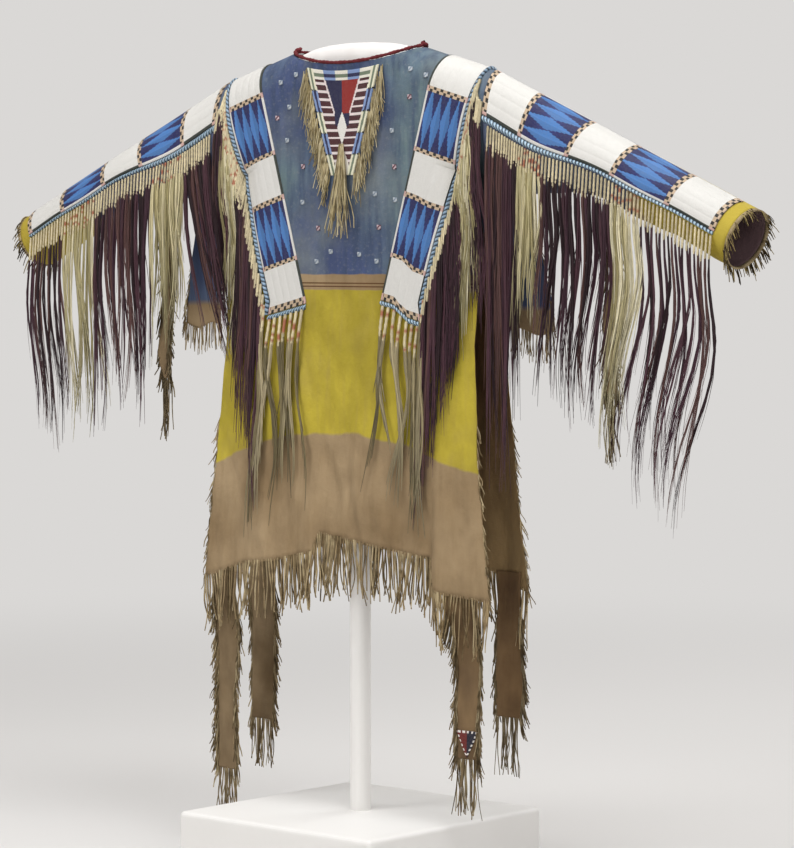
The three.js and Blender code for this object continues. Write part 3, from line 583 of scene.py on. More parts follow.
for side, name in FACINGS:
    c, r = np.meshgrid(np.linspace(0, LAST_COLUMN, HIDE_GRID[1]), np.linspace(0, HEM_ROW, HIDE_GRID[0]))
    outer = hide_points(c, r, side)
    way = normals_of(outer, np.array([0, side, 0.35]))
    # the wall stays upright along the shoulder seam and the armholes, where pieces meet
    ridge = np.abs(outer[0, :, 0]) >= NECK_HALF
    way[0, ridge] = np.stack([way[0, ridge, 0], 0 * way[0, ridge, 0], np.abs(way[0, ridge, 2]) + 0.2], -1)
    way[1: int(HIDE_GRID[0] * ARM_ROWS / HEM_ROW), [0, -1], 0] = 0
    way[0, [0, -1]] = (0, 0, 1)
    shell(f"{name}_hide", outer, unit(way), PAINTED, (f"{name}_panel",))

# ---------------------------------------------------------------------------
# Sleeves: open tubes of hide sewn to the armholes, oval there and round at the cuff,
# painted blue above and yellow towards the cuff.
# ---------------------------------------------------------------------------
CUFF_X = 0.866
CUFF_RIDGE = 1.180
CUFF_RADIUS = 0.052
DROOP = math.radians(22.5)
SLEEVE_GRID = (97, 80)         # rings along the sleeve and points round it
LEFT, RIGHT = -1, 1
HANDS = ((LEFT, "left"), (RIGHT, "right"))


def circle(count):
    """Angles once round, evenly spaced."""
    return np.arange(count) / count * 2 * math.pi


def sleeve_up(s):
    """The way up in the sleeve's section at s: upright at the armhole, tilted by the droop."""
    a = DROOP * ease(0, 0.35, s)
    return np.stack([np.sin(a), 0 * a, np.cos(a)], -1)


def sleeve_ridge(s):
    """The straight line along the top of the sleeve, from the armhole to the cuff."""
    start = SHOULDER_HALF + SEAM
    z = SHOULDER_RIDGE + (CUFF_RIDGE - SHOULDER_RIDGE) * s
    return np.stack([start + (CUFF_X - start) * s, 0 * s, z], -1)


def band_edge_angle(s):
    """Angle from the top at which the beaded band's lower edge lies, in radians."""
    return np.radians(78 + 12 * ease(0, 0.5, s))


def sleeve_points(s, angle, off, hand):
    """Points of the sleeve: an oval section square to the arm, hung from the straight ridge
    line, angle counted from the top towards the front, moved out by off."""
    s, angle = np.broadcast_arrays(s, angle)
    tall = ARM_TALL + (CUFF_RADIUS - ARM_TALL) * ease(0, 0.6, s)
    deep = ARM_DEEP + (CUFF_RADIUS - ARM_DEEP) * ease(0, 0.6, s)
    sag = (1 - np.cos(angle)) / 2 * 0.003 * np.sin(s * 17) * ease(0.05, 0.3, s) * ease(1, 0.8, s)
    under = np.clip(-np.cos(angle - 0.9), 0, 1) * ease(0, 0.1, s) * ease(1, 0.93, s)
    ripple = 0.0016 * np.sin(s * 60 + 3 * np.sin(angle)) * under
    drop = -tall + (tall + off + ripple) * np.cos(angle) + sag
    point = sleeve_ridge(s) + sleeve_up(s) * drop[..., None]
    point[..., 1] -= (deep + off + ripple) * np.sin(angle)
    point[..., 0] *= hand
    return point


def sleeve_paint():
    """Blue from the shoulder, then yellow from the forearm to the cuff, each over bare hide."""
    material, tree, shader = new_material("sleeve_hide")
    grain = use_grain(tree, 7.0)
    out = calc(tree, "ABSOLUTE", place_on(tree)[1])
    blue = layered(tree, mottled(tree, grain, "#5f6b7b", "#545a7c", 0.35, 0.65), [
        (grain["Streak"], 0.45, 0.75, 0.6, "#474c6c"),
    ])
    tan = mottled(tree, grain, TAN_DARK, TAN_LIGHT)
    colour = layered(tree, blue, [
        (out, 0.640, 0.644, 1.0, tan),
        (out, 0.664, 0.668, 1.0, mottled(tree, grain, "#a08c30", "#b8a440", 0.32, 0.68)),
        (out, 0.884, 0.888, 1.0, tan),
    ])
    # the inner face: bare hide darkened to a purple-brown as painted shade in the sleeve's hollow
    shaded_lining = mottled(tree, grain, "#4a383c", "#6d5758")
    finish_hide(tree, shader, inner_face_colour(tree, colour, shaded_lining), grain)
    return material


SLEEVE_HIDE = sleeve_paint()
for hand, name in HANDS:
    s, angle = np.meshgrid(np.linspace(0, 1, SLEEVE_GRID[0]), circle(SLEEVE_GRID[1]), indexing="ij")
    outer = sleeve_points(s, angle, 0.0, hand)
    way = normals_of(outer, outer - outer.mean(1, keepdims=True), around=True)
    way[0] *= (0, 1, 1)
    sleeve = shell(f"sleeve_hide_{name}", outer, unit(way), SLEEVE_HIDE,
                   (f"sleeve_{name}",), around=True)

# ---------------------------------------------------------------------------
# Beaded bands: lane-stitched glass beads on hide, white blocks and blue blocks with long
# lozenges by turns, parted by double rows of small dark and pale checks.
# ---------------------------------------------------------------------------
BEAD = 0.0015
BAND_THICK = 0.0023
BAND_BEADS = 60
BEADS_DOWN = 290               # rows of a shoulder band, in front and again behind
BEADS_OUT = 345                # rows of a sleeve band
LINE_STEPS = 200
STRIP_COLUMNS = {LEFT: (3, 6), RIGHT: (21, 18)}      # the shoulder bands' outer and inner column
WHITE_BEAD, PALE_BLUE, NAVY = srgb("#dedcd7"), srgb("#447abb"), srgb("#0c1452")
DEEP_BLUE, DARK_GREEN, CREAM = srgb("#2b3fa0"), srgb("#2c332c"), srgb("#c6ae92")
PINK_BEAD, BLACK_BEAD = srgb("#cfaaa0"), srgb("#1c1612")
# each run of a band: kind and its share of the length, from the shoulder line down
SHOULDER_RUNS = [
    ("white", 0.152), ("check", 0.018), ("blue", 0.210), ("check", 0.018), ("white", 0.155),
    ("check", 0.018), ("blue", 0.220), ("check", 0.018), ("white", 0.140), ("check", 0.027),
]
SLEEVE_RUNS = [
    ("check", 0.019), ("white", 0.157), ("check", 0.019), ("blue", 0.190), ("check", 0.019),
    ("white", 0.157), ("check", 0.019), ("blue", 0.190), ("check", 0.019), ("white", 0.150),
    ("check", 0.019),
]


def choose(where, first, second):
    """The first colour where the mask holds, else the second."""
    return np.where(where[..., None], first, second)


def band_colours(runs, rows, cols, broad_first):
    """Colour of each bead, row by row along the band: the run is found from the share of the
    length, and the figure in it from the share along the run (v) and across the band (u). A
    white block has a broad dark line on one edge, the first if broad_first, a thin one on the
    other."""
    kinds_down, lengths = zip(*runs)
    ends = np.cumsum(lengths)
    starts = ends - np.array(lengths)
    along = (np.arange(rows) + 0.5) / rows * ends[-1]
    run = np.minimum(np.searchsorted(ends, along), len(runs) - 1)
    v = ((along - starts[run]) / (ends - starts)[run])[:, None]
    kind = np.array(kinds_down)[run][:, None]
    u = ((np.arange(cols) + 0.5) / cols)[None, :]
    side = np.minimum(u, 1 - u) * cols
    # blue blocks: four lozenges side by side on navy, each with a lit half and a half darkened as painted
    # shade
    lane = (u - 3.5 / cols) / (1 - 7 / cols) * 4
    cell = np.floor(lane)
    middle = 0.46 + 0.08 * (cell % 2)
    wide = 0.05 + 0.45 * np.clip(1 - np.abs(v - middle) / 0.5, 0, 1)
    lit_and_shaded_halves = choose(lane - cell < 0.5, PALE_BLUE, PALE_BLUE * 0.80)
    ground = NAVY + (DEEP_BLUE - NAVY) * 0.30 * np.clip(1 - np.abs(v - 0.5) * 3, 0, 1)[..., None]
    figure = choose(np.abs(lane - cell - 0.5) < wide, lit_and_shaded_halves, ground)
    figure = choose(side < 3.5, WHITE_BEAD, figure)
    out = choose(kind == "blue", figure, WHITE_BEAD)
    from_first = u * cols if broad_first else (1 - u) * cols
    out = choose((kind == "white") & ((from_first < 3.2) | (from_first > cols - 1.2)), DARK_GREEN, out)
    # checks: two rows of dashes, the second row moved on by half a dash
    dash = (u * 6.0 + 0.5 * (v > 0.5)) % 1 < 0.42
    checks = choose(side < 3, PINK_BEAD, choose(dash, BLACK_BEAD, CREAM))
    return choose(kind == "check", checks, out)


def tint_of(tree):
    """The tint stored on the piece."""
    return node(tree, "ShaderNodeAttribute", {"attribute_name": "tint"}).outputs["Color"]


def bead_material():
    """Glass beads: the tint of each bead varied a little from bead to bead, with a round top
    for each bead and thread gaps between, worked out from the UV counted in beads."""
    material, tree, shader = new_material("glass_beads")
    spot = cloth_uv(tree)
    whole = vector(tree, "FLOOR", spot)
    chance = node(tree, "ShaderNodeTexWhiteNoise", {"noise_dimensions": "2D"}, Vector=whole).outputs["Value"]
    across, along = axes(tree, vector(tree, "SUBTRACT", vector(tree, "FRACTION", spot), (0.5, 0.5, 0)))[:2]
    x2, y2 = (calc(tree, "POWER", calc(tree, "ABSOLUTE", part), 2.0) for part in (across, along))
    dome = calc(tree, "SQRT", calc(tree, "SUBTRACT", 0.5, calc(tree, "ADD", x2, y2), clamp=True))
    varied = mix(tree, calc(tree, "MULTIPLY", chance, 0.12), tint_of(tree), (0.25, 0.24, 0.22))
    colour = layered(tree, varied, [(calc(tree, "MAXIMUM", x2, y2), 0.15, 0.25, 0.5, (0.06, 0.055, 0.05))])
    finish(tree, shader, colour, 0.38, 0.25)
    bump(tree, shader, dome, 0.7, 0.0008)
    return material


BEADS = bead_material()


def joined(parts):
    """Joins several sets of points, faces and tints into one."""
    shift, points, faces, tints = 0, [], [], []
    for p, f, t in parts:
        points.append(p)
        faces.append(f + shift)
        tints.append(t)
        shift += len(p)
    return np.concatenate(points), np.concatenate(faces), np.concatenate(tints)


def slab(top, low, cells):
    """Beads between two grids: a top quad for each cell and walls down to the ground they are
    sewn to, each in the tint of the nearest cell. Returns points, faces and a tint for each."""
    rows, cols = top.shape[:2]
    count = rows * cols
    ids = np.arange(count).reshape(rows, cols)
    faces, tints = [grid_faces(rows, cols, False)], [cells.reshape(-1, 3)]
    for edge, colour in ((ids[0], cells[0]), (ids[-1][::-1], cells[-1][::-1]),
                         (ids[:, 0][::-1], cells[::-1, 0]), (ids[:, -1], cells[:, -1])):
        faces.append(np.stack([edge[:-1], edge[1:], edge[1:] + count, edge[:-1] + count], -1))
        tints.append(colour)
    points = np.concatenate([top.reshape(-1, 3), low.reshape(-1, 3)])
    faces = turned_out(np.concatenate(faces), points, points[0] - points[count])
    return points, faces, np.concatenate(tints)


def bead_piece(name, slabs, replaced=(), lattice=None):
    """Joins bead slabs into one piece, its UV counted in beads."""
    points, faces, tints = joined(slabs)
    if lattice is None:
        uv = np.stack([points[:, 0], points[:, 2]], -1) / BEAD
    else:
        uv = np.tile(np.stack(lattice, -1).reshape(-1, 2), (2, 1))
    return piece(name, points, faces, BEADS, replaced, uv, tints)


def bead_band(name, base, way, colours, replaced):
    """A band with one quad for each bead on a surface and its normals; its top swells in
    soft lanes."""
    rows, cols = colours.shape[:2]
    lane = np.abs(np.sin(np.arange(cols + 1) / cols * 5 * math.pi)) ** 0.6
    top = base + way * (BAND_THICK * (0.72 + 0.28 * lane))[None, :, None]
    lattice = np.meshgrid(np.arange(cols + 1.0), np.arange(rows + 1.0))
    bead_piece(name, [slab(top, base + way * SEAM, colours)], (replaced,), lattice)


def run_along(points):
    """How far along a line of points each of them lies."""
    return np.concatenate([[0], np.cumsum(np.linalg.norm(np.diff(points, axis=0), axis=1))])


def even_rows(line, count):
    """Places along a line of points, as positions in its own row count, spaced evenly."""
    step = run_along(line)
    return np.interp(np.linspace(0, step[-1], count), step, np.arange(len(line)))


def hide_line(c, r, side):
    """Points of a hide down one column."""
    return hide_points(np.full(len(r), float(c)), r, side)


for hand, name in HANDS:
    first, last = sorted(STRIP_COLUMNS[hand])
    middle = (first + last) / 2
    # rows count down from the shoulder line, below 0 on the back
    dense = np.concatenate([
        np.linspace(STRIP_END, 0, LINE_STEPS), -np.linspace(0, STRIP_END, LINE_STEPS)[1:]])
    line = np.concatenate([
        hide_line(middle, dense[:LINE_STEPS], FRONT), hide_line(middle, -dense[LINE_STEPS:], BACK)])
    r = np.interp(even_rows(line, 2 * BEADS_DOWN + 1), np.arange(len(dense)), dense)
    cc, rr = np.meshgrid(np.linspace(first, last, BAND_BEADS + 1), r)
    points = choose(rr >= 0, hide_points(cc, np.abs(rr), FRONT), hide_points(cc, np.abs(rr), BACK))
    points[..., 1] = np.where(np.abs(points[..., 1]) < 0.0004, 0, points[..., 1])
    way = normals_of(points, np.stack([0 * rr, np.where(rr >= 0, -1.0, 1.0), 0 * rr + 0.8], -1))
    front = band_colours(SHOULDER_RUNS, BEADS_DOWN, BAND_BEADS, hand == RIGHT)
    colours = np.concatenate([front[::-1], front])
    bead_band(f"shoulder_beads_{name}", points, way, colours, f"shoulder_strip_{name}")

    lines_out, lines_across = np.linspace(0.001, 0.955, BEADS_OUT + 1), np.linspace(0, 1, BAND_BEADS + 1)
    s, t = np.meshgrid(lines_out, lines_across, indexing="ij")
    points = sleeve_points(s, t * band_edge_angle(s), 0.0, hand)
    way = normals_of(points, points - sleeve_points(s, 0 * t, -0.09, hand))
    colours = band_colours(SLEEVE_RUNS, BEADS_OUT, BAND_BEADS, False)
    bead_band(f"sleeve_beads_{name}", points, way, colours, f"sleeve_strip_{name}")

# ---------------------------------------------------------------------------
# Edging: a rolled border of beads, in short slanting bars, sewn under the lower edge of
# each sleeve band and round the outer edge and foot of each shoulder band.
# ---------------------------------------------------------------------------
ROLL_STEPS = 7                 # points over the arch of a roll
EDGE_GAPS = (0.0115, 0.0006)   # from the band's edge to the roll's far and near side


def tube_faces(rows, cols):
    """Quads of a closed tube of rings and one many-sided cap at each end."""
    caps = [np.arange(cols).tolist(), (np.arange(cols)[::-1] + (rows - 1) * cols).tolist()]
    return grid_faces(rows, cols, True).tolist() + caps


def edging_beads(name, dark, middle, pale):
    """Beads in slanting bars of three colours, told from the UV: along the roll in bars."""
    material, tree, shader = new_material(name)
    spot = cloth_uv(tree)
    around, along = axes(tree, spot)[:2]
    bar = calc(tree, "FRACT", calc(tree, "ADD", along, calc(tree, "MULTIPLY", around, 0.7)))
    colour = mix(tree, stretch(tree, bar, 0.36, 0.40), dark, middle)
    colour = mix(tree, stretch(tree, bar, 0.56, 0.60), colour, pale)
    fine = vector(tree, "MULTIPLY", spot, (12, 3, 1))
    cell = node(tree, "ShaderNodeTexVoronoi", Vector=fine, Scale=1.0, Randomness=0.4).outputs["Distance"]
    finish(tree, shader, colour, 0.36, 0.5)
    bump(tree, shader, calc(tree, "SUBTRACT", 1.0, cell), 0.8, 0.0008)
    return material


BLUE_EDGING = edging_beads("blue_edging_beads", "#2c3844", "#7797b0", "#a9c0cf")
SLATE_EDGING = edging_beads("slate_edging_beads", "#303b48", "#6d8aa4", "#93abc0")


def rolled_edge(name, low, high, way, height, bar, material):
    """A roll between two edge lines: point = mix(low, high, w) + way * height * sin(pi w),
    over a flat underside; the UV runs round it and, in bars, along it."""
    w = np.linspace(0, 1, ROLL_STEPS)[None, :, None]
    flat = low[:, None] + (high - low)[:, None] * w
    arch = flat + way[:, None] * (0.0004 + height * np.sin(math.pi * w))
    ring = np.concatenate([arch, flat[:, ::-1][:, 1:-1] + way[:, None] * 0.0002], 1)
    rows, cols = ring.shape[:2]
    along = run_along(low) / bar
    uv = np.stack(np.broadcast_arrays(np.linspace(0, 2, cols)[None, :], along[:, None]), -1)
    piece(name, ring, turned_out(tube_faces(rows, cols), ring, way[0]), material, uv=uv)


def outside(c, hand, most, gap, r, side):
    """The column that lies a gap in metres outside column c, at most a share of a column away."""
    at, aside = (hide_line(column, r, side)[:, 0] for column in (c, c + hand))
    return c + hand * np.minimum(most, gap / np.abs(aside - at))


for hand, name in HANDS:
    s = np.linspace(0.004, 0.953, 300)
    edge = band_edge_angle(s)
    low, high = (sleeve_points(s, edge + turn, 0.0, hand) for turn in (0.135, 0.006))
    way = unit(low - sleeve_points(s, edge + 0.06, -0.05, hand))
    rolled_edge(f"sleeve_edging_{name}", low, high, way, 0.0044, 0.0076, BLUE_EDGING)

    outer, inner = STRIP_COLUMNS[hand]
    down = np.linspace(STRIP_END, 0, 160)
    r = np.concatenate([down, -down[::-1][1:]])
    lines = np.empty((2, len(r), 3))
    for line, gap in zip(lines, EDGE_GAPS):
        for side, mine in ((FRONT, r >= 0), (BACK, r < 0)):
            rr = np.abs(r[mine])
            line[mine] = hide_points(outside(outer, hand, 0.9, gap, rr, side), rr, side)
    level = -np.sign(r + 1e-9) * np.clip(np.abs(r) / 3, 0.05, 1)
    way = unit(np.stack([0 * r, level, np.clip(1 - np.abs(r) / 6, 0, 1)], -1))
    rolled_edge(f"shoulder_edging_{name}", *lines, way, 0.0050, 0.0082, SLATE_EDGING)
    for side, facing in FACINGS:
        c = np.linspace(inner, outer, 60)
        low, high = (hide_points(c, np.full(60, STRIP_END + below), side) for below in (0.15, 0.015))
        way = np.tile([0.0, float(side), 0.0], (60, 1))
        rolled_edge(f"foot_edging_{facing}_{name}", low, high, way, 0.0040, 0.0070, BLUE_EDGING)

# ---------------------------------------------------------------------------
# Hair locks: bundles of dark hair and of hair dyed yellow-green, each bound at the top in
# a long quill wrap, pale or dotted with red, and hung side by side under the bands.
# ---------------------------------------------------------------------------
rng = np.random.default_rng(7)


def tones_of(*texts):
    """Linear colours from hex texts."""
    return [srgb(text) for text in texts]


HAIR_TONES = {
    "dark": tones_of("#3f2430", "#4e2f39", "#5c3f3c", "#28131a"),
    "dyed": tones_of("#cfc49c", "#bdb287", "#ddd4b3", "#a0956a"),
    "olive": tones_of("#978a68", "#a59876", "#7d7150", "#b3a583"),
}
# hairs shown for each lock, how far they spread, their thickness, and the lock's wave
HAIR_BUILD = {
    "dark": (17, 0.0044, 0.00125, 1.0),
    "dyed": (13, 0.0046, 0.00155, 1.0),
    "olive": (9, 0.0034, 0.00210, 2.2),
}
HAIR_RINGS = 10                # points along a hair
WRAP_RINGS = 11                # rings of a wrap, thin and thick by turns


def strands(paths, radii, tints, sides=3):
    """Tapering strands along many paths at once: (n, rings, 3) paths, (n, rings) radii and
    (n, rings, 3) tints; each ring is square to its path. Returns points, faces and tints."""
    n, rings = paths.shape[:2]
    way = unit(np.gradient(paths, axis=1))
    u = unit(np.array([1.0, 0.0, 0.0]) - way * way[..., :1])
    v = np.cross(way, u)
    a = 2 * math.pi * (np.arange(sides) + 0.25) / sides
    ring = u[..., None, :] * np.cos(a)[:, None] + v[..., None, :] * np.sin(a)[:, None]
    points = paths[:, :, None, :] + ring * radii[..., None, None]
    i = np.arange(n)[:, None, None] * rings * sides
    j = np.arange(rings - 1)[None, :, None] * sides
    k = np.arange(sides)[None, None, :]
    a0, b0 = i + j + k, i + j + (k + 1) % sides
    faces = np.stack([a0, b0, b0 + sides, a0 + sides], -1).reshape(-1, 4)
    colour = np.repeat(tints[:, :, None, :], sides, axis=2)
    return points.reshape(-1, 3), faces, colour.reshape(-1, 3)


def hair_material():
    """Hair: the tint of each strand with fine lengthwise streaks and a soft gloss."""
    material, tree, shader = new_material("hair")
    streak = noise(tree, drawn_out(tree, place_on(tree)[0], 0.03), 900.0)
    colour = layered(tree, tint_of(tree), [(streak, 0.4, 0.7, 0.35, (0.02, 0.015, 0.012))])
    finish(tree, shader, colour, 0.55, 0.3)
    bump(tree, shader, streak, 0.5, 0.0006)
    return material


HAIR = hair_material()


def slide(line, at):
    """Reads lines of evenly spaced places, (n, rings), at places of their own, (n, m)."""
    spot = np.clip(at, 0, 1) * (line.shape[1] - 1)
    low = np.minimum(spot.astype(int), line.shape[1] - 2)
    first = np.take_along_axis(line, low, 1)
    return first + (np.take_along_axis(line, low + 1, 1) - first) * (spot - low)


def slide_paths(paths, at):
    """Reads paths, (n, rings, 3), at places of their own along each, (n, m)."""
    return np.stack([slide(paths[..., k], at) for k in range(3)], -1)


def lock_wraps(axis, wrap, radius, kind):
    """The wraps at the tops of locks, ringed by their quills: wrap is each one's share of its
    lock; the locks that aren't dark have red dots here and there."""
    n = len(axis)
    t = np.linspace(0, 1, WRAP_RINGS)
    swell = np.where(np.arange(WRAP_RINGS) % 2 == 0, 0.86, 1.06) * np.where(t > 0.95, 0.8, 1)
    cream = srgb("#d9cba6") * rng.uniform(0.72, 1.10, (n, 1, 1)) * rng.uniform(0.88, 1.04, (n, WRAP_RINGS, 1))
    dots = choose(rng.uniform(0, 1, (n, WRAP_RINGS)) < 0.22, srgb("#a86a50"), cream)
    tint = np.where((kind != "dark")[:, None, None], dots, cream)
    return strands(slide_paths(axis, wrap * t), radius * swell * np.ones((n, 1)), tint, 6)


def lock_hairs(axis, first, slim, name):
    """The hairs of one kind of lock: they start inside the wrap, spread, and end unevenly,
    drawn to a point, with a few strays; slim draws a lock's hairs together."""
    hairs, broad, thin, _ = HAIR_BUILD[name]
    n, s = len(axis), np.linspace(0, 1, HAIR_RINGS)
    turn = rng.uniform(0, 2 * math.pi, (n, hairs))
    spread = np.sqrt(rng.uniform(0.05, 1, (n, hairs))) * broad * slim
    own = rng.uniform(-1, 1, (n, hairs, 2))
    cut = 1 - (0.30 + 0.30 * slim) * rng.uniform(0, 1, (n, hairs)) ** 1.2
    at = first[..., None] + (cut - first)[..., None] * s
    hair = slide_paths(axis, at.reshape(n, -1)).reshape(n, hairs, HAIR_RINGS, 3)
    shape = (0.35 + 0.65 * ease(0.0, 0.20, s)) * (1 - 0.85 * ease(0.20, 0.85, s))
    stray = 0.014 * own[..., :1] ** 3 * s ** 2 + 0.0010 * np.sin(9 * s + 6 * own[..., 1:])
    hair[..., 0] += (spread * np.cos(turn))[..., None] * shape + stray
    hair[..., 1] += (spread * np.sin(turn))[..., None] * shape * 0.8
    taper = (0.4 + 0.6 * slim[..., None]) * (1.05 - 0.80 * s ** 2.2)
    size = thin * taper * rng.uniform(0.75, 1.25, (n, hairs, 1))
    tone = np.array(HAIR_TONES[name])[rng.integers(0, 4, (n, 1)) * np.ones((1, hairs), int)]
    fade = (0.9 + 0.2 * s) if name == "dark" else (1.05 - 0.35 * s ** 2)
    colour = tone[:, :, None, :] * rng.uniform(0.7, 1.25, (n, hairs, 1, 1)) * fade[None, None, :, None]
    lines = (n * hairs, HAIR_RINGS)
    return strands(hair.reshape(*lines, 3), size.reshape(lines), np.clip(colour, 0, 1).reshape(*lines, 3))


def locks(root, push_front, length, kind, wrap, wrap_radius, face=None, drag=0.0, bow=0.0, slim=1.0):
    """Locks hung from roots: a ringed wrap, then hairs that follow the lock's own slow wave.
    push_front moves them a little forward as they leave the roots; face gives the distance
    from the middle at which a lock hangs before a hide; bow is the height of the one long
    wave that neighbours share, drag leans the tips to one side, and slim draws a lock's hairs
    together so that it hangs clear of its neighbours."""
    n, s = len(root), np.linspace(0, 1, HAIR_RINGS)
    slim = (slim * np.ones(n))[:, None]
    wave = np.array([HAIR_BUILD[k][3] for k in kind])[:, None]
    sway = rng.uniform(-1, 1, (n, 5))
    phase = s * (5 + 2.2 * sway[:, 1:2]) + 3 * sway[:, 2:3]
    own_wave = 0.0105 * sway[:, :1] * np.sin(phase) * ease(0, 0.5, s)
    swing = wave * (own_wave + 0.014 * sway[:, 3:4] * s ** 2) + drag * s ** 1.5
    swing = swing + bow * np.sin(2 * math.pi * (s - 0.10) + 0.35 * sway[:, 1:2]) * ease(0.05, 0.35, s)
    x = root[:, :1] + swing
    z = root[:, 2:] - length[:, None] * s
    y = root[:, 1:2] - push_front * ease(0, 0.10, s) + 0.010 * sway[:, 4:] * s ** 2 * (face is None)
    axis = np.stack([x, y if face is None else face(x, z, y), z], -1)
    share = (wrap / length)[:, None]
    parts = [lock_wraps(axis, share, wrap_radius, kind)]
    for name in HAIR_BUILD:
        mine = kind == name
        if mine.any():
            parts.append(lock_hairs(axis[mine], share[mine] * 0.8, slim[mine], name))
    return joined(parts)


def kinds(place, runs):
    """The kind of each lock by its share of the way along the band; runs hold an end and a kind."""
    ends, names = zip(*runs)
    return np.array(names)[np.searchsorted(ends, place).clip(0, len(runs) - 1)]


SLEEVE_LOCKS = 66
SLEEVE_GROUPS = {
    RIGHT: [(0.17, "dark"), (0.30, "dyed"), (0.60, "dark"), (0.72, "dyed"), (1.0, "dark")],
    LEFT: [(0.155, "dark"), (0.34, "dyed"), (0.64, "dark"), (0.81, "dyed"), (1.0, "dark")],
}
# where along each sleeve, and how long the locks are there
SLEEVE_LENGTHS = {
    RIGHT: ([0, 0.16, 0.18, 0.29, 0.31, 0.60, 0.72, 1], [0.62, 0.60, 0.34, 0.34, 0.43, 0.45, 0.48, 0.48]),
    LEFT: ([0, 0.16, 0.18, 0.33, 0.35, 0.7, 1], [0.40, 0.40, 0.34, 0.34, 0.47, 0.45, 0.41]),
}
# how far each sleeve's locks lean, and the height of the wave they share
PLACES = np.linspace(0, 1, SLEEVE_LOCKS)
SLEEVE_LEAN = {
    RIGHT: -0.045 * PLACES ** 2,
    LEFT: np.interp(PLACES, [0, 0.15, 0.16, 1], [0.050, 0.115, 0.004, 0.012]),
}
SLEEVE_BOW = {RIGHT: 0.020 * PLACES, LEFT: -0.010 * PLACES}
SLEEVE_SLIM = np.interp(PLACES, [0, 0.60, 0.74, 1], [1, 0.85, 0.45, 0.38])

for hand, name in HANDS:
    s = 0.030 + 0.92 * PLACES
    root = sleeve_points(s, band_edge_angle(s) + 0.15, 0.0025, hand)
    length = np.interp(PLACES, *SLEEVE_LENGTHS[hand]) * rng.uniform(0.80, 1.05, SLEEVE_LOCKS)
    wrap = 0.045 * rng.uniform(0.78, 1.12, SLEEVE_LOCKS)
    lean, bow = SLEEVE_LEAN[hand][:, None], SLEEVE_BOW[hand][:, None]
    points, faces, tints = locks(root, 0.004, length, kinds(PLACES, SLEEVE_GROUPS[hand]), wrap, 0.0021,
                                 drag=lean, bow=bow, slim=SLEEVE_SLIM)
    piece(f"sleeve_locks_{name}", points, faces, HAIR, (f"sleeve_hair_{name}",), tint=tints)


def before_hide(side):
    """The distance at which a lock hangs: clear of the fullest hide just above and below it."""
    def face(x, z, level):
        up = np.array([-0.04, -0.02, 0, 0.025, 0.05, 0.10])
        zz = np.minimum(z[..., None] + up, shoulder_z(x[..., None], side))
        deep = hide_depth(x[..., None] + 0 * up, zz, side).max(-1)
        near = ease(0, 0.05, np.abs(z - z[:, :1]))
        return level + (side * (deep + 0.0075) - level) * near
    return face


EDGE_LOCKS, FOOT_LOCKS, NOOK_LOCKS = 46, 7, 8        # beside the band, under its foot, at its corner
EDGE_GROUPS = [(0.10, "dark"), (0.42, "dyed"), (0.94, "dark"), (1.0, "olive")]
LOW_LOCKS = 28                 # from this lock of the edge on they are longer

for hand, name in HANDS:
    outer, inner = STRIP_COLUMNS[hand]
    for side, facing in FACINGS:
        place = np.linspace(0.02, 1, EDGE_LOCKS)
        r = 1.5 + (STRIP_END - 1.5) * place ** 0.8
        edge_root = hide_points(outside(outer, hand, 0.85, EDGE_GAPS[0], r, side), r, side)
        nook_rows = np.linspace(2.6, 3.6, NOOK_LOCKS)
        nook = hide_points(outer + hand * np.linspace(0.6, 2.6, NOOK_LOCKS), nook_rows, side)
        foot = inner + (outer - inner) * (np.arange(FOOT_LOCKS) + 0.5) / FOOT_LOCKS
        foot_root = hide_points(foot, np.full(FOOT_LOCKS, STRIP_END + 0.13), side)
        root = np.concatenate([edge_root, foot_root, nook])
        root[:, 1] += side * 0.003
        kind = np.concatenate([
            kinds(place, EDGE_GROUPS), np.full(FOOT_LOCKS, "olive"), np.full(NOOK_LOCKS, "dark")])
        length = 0.372 * rng.uniform(0.84, 1.03, len(root))
        length[EDGE_LOCKS + FOOT_LOCKS:] *= 1.10
        length[LOW_LOCKS:EDGE_LOCKS] *= 1.12
        wrap = np.full(len(root), 0.046)
        wrap[EDGE_LOCKS:EDGE_LOCKS + FOOT_LOCKS] = 0.058
        wrap = wrap * rng.uniform(0.85, 1.1, len(root))
        points, faces, tints = locks(root, 0.0, length, kind, wrap, 0.0030, before_hide(side))
        covered = (f"shoulder_hair_{facing}_{name}",)
        piece(f"shoulder_locks_{facing}_{name}", points, faces, HAIR, covered, tint=tints)

# ---------------------------------------------------------------------------
# Fringe stuff: thin thongs cut from hide, and the beaded bib sewn below the neck opening,
# with its red and navy cloth, a thick fringe down both edges and a tassel at its point.
# ---------------------------------------------------------------------------
THONG_TONES = tones_of("#ad9a76", "#95815e", "#bfad88", "#766446", "#a28d6a")
PALE_TONES = tones_of("#c0b28c", "#a59775", "#cfc29e", "#8d7f58", "#b5a67e")
BIB_TOP_GAP = 0.011            # the bib starts this far below the neck opening
BIB_TIP, BIB_HALF, BIB_TIP_HALF = 1.246, 0.086, 0.026
BIB_WALL = (0.0013, 0.0044)
BIB_BEADS = (120, 100)         # rows and columns
BIB_EDGE_THONGS, BIB_TASSEL_THONGS = 330, 60


def thong_hide():
    """Cut thongs: the tint of each with the grain of hide."""
    material, tree, shader = new_material("thong_hide")
    grain, tint = use_grain(tree, 60.0), tint_of(tree)
    dark = mix(tree, 1.0, tint, "#7d6a48", "MULTIPLY")
    finish_hide(tree, shader, layered(tree, tint, [(grain["Mottle"], 0.45, 0.72, 0.7, dark)]), grain, 0.4)
    return material


THONG = thong_hide()


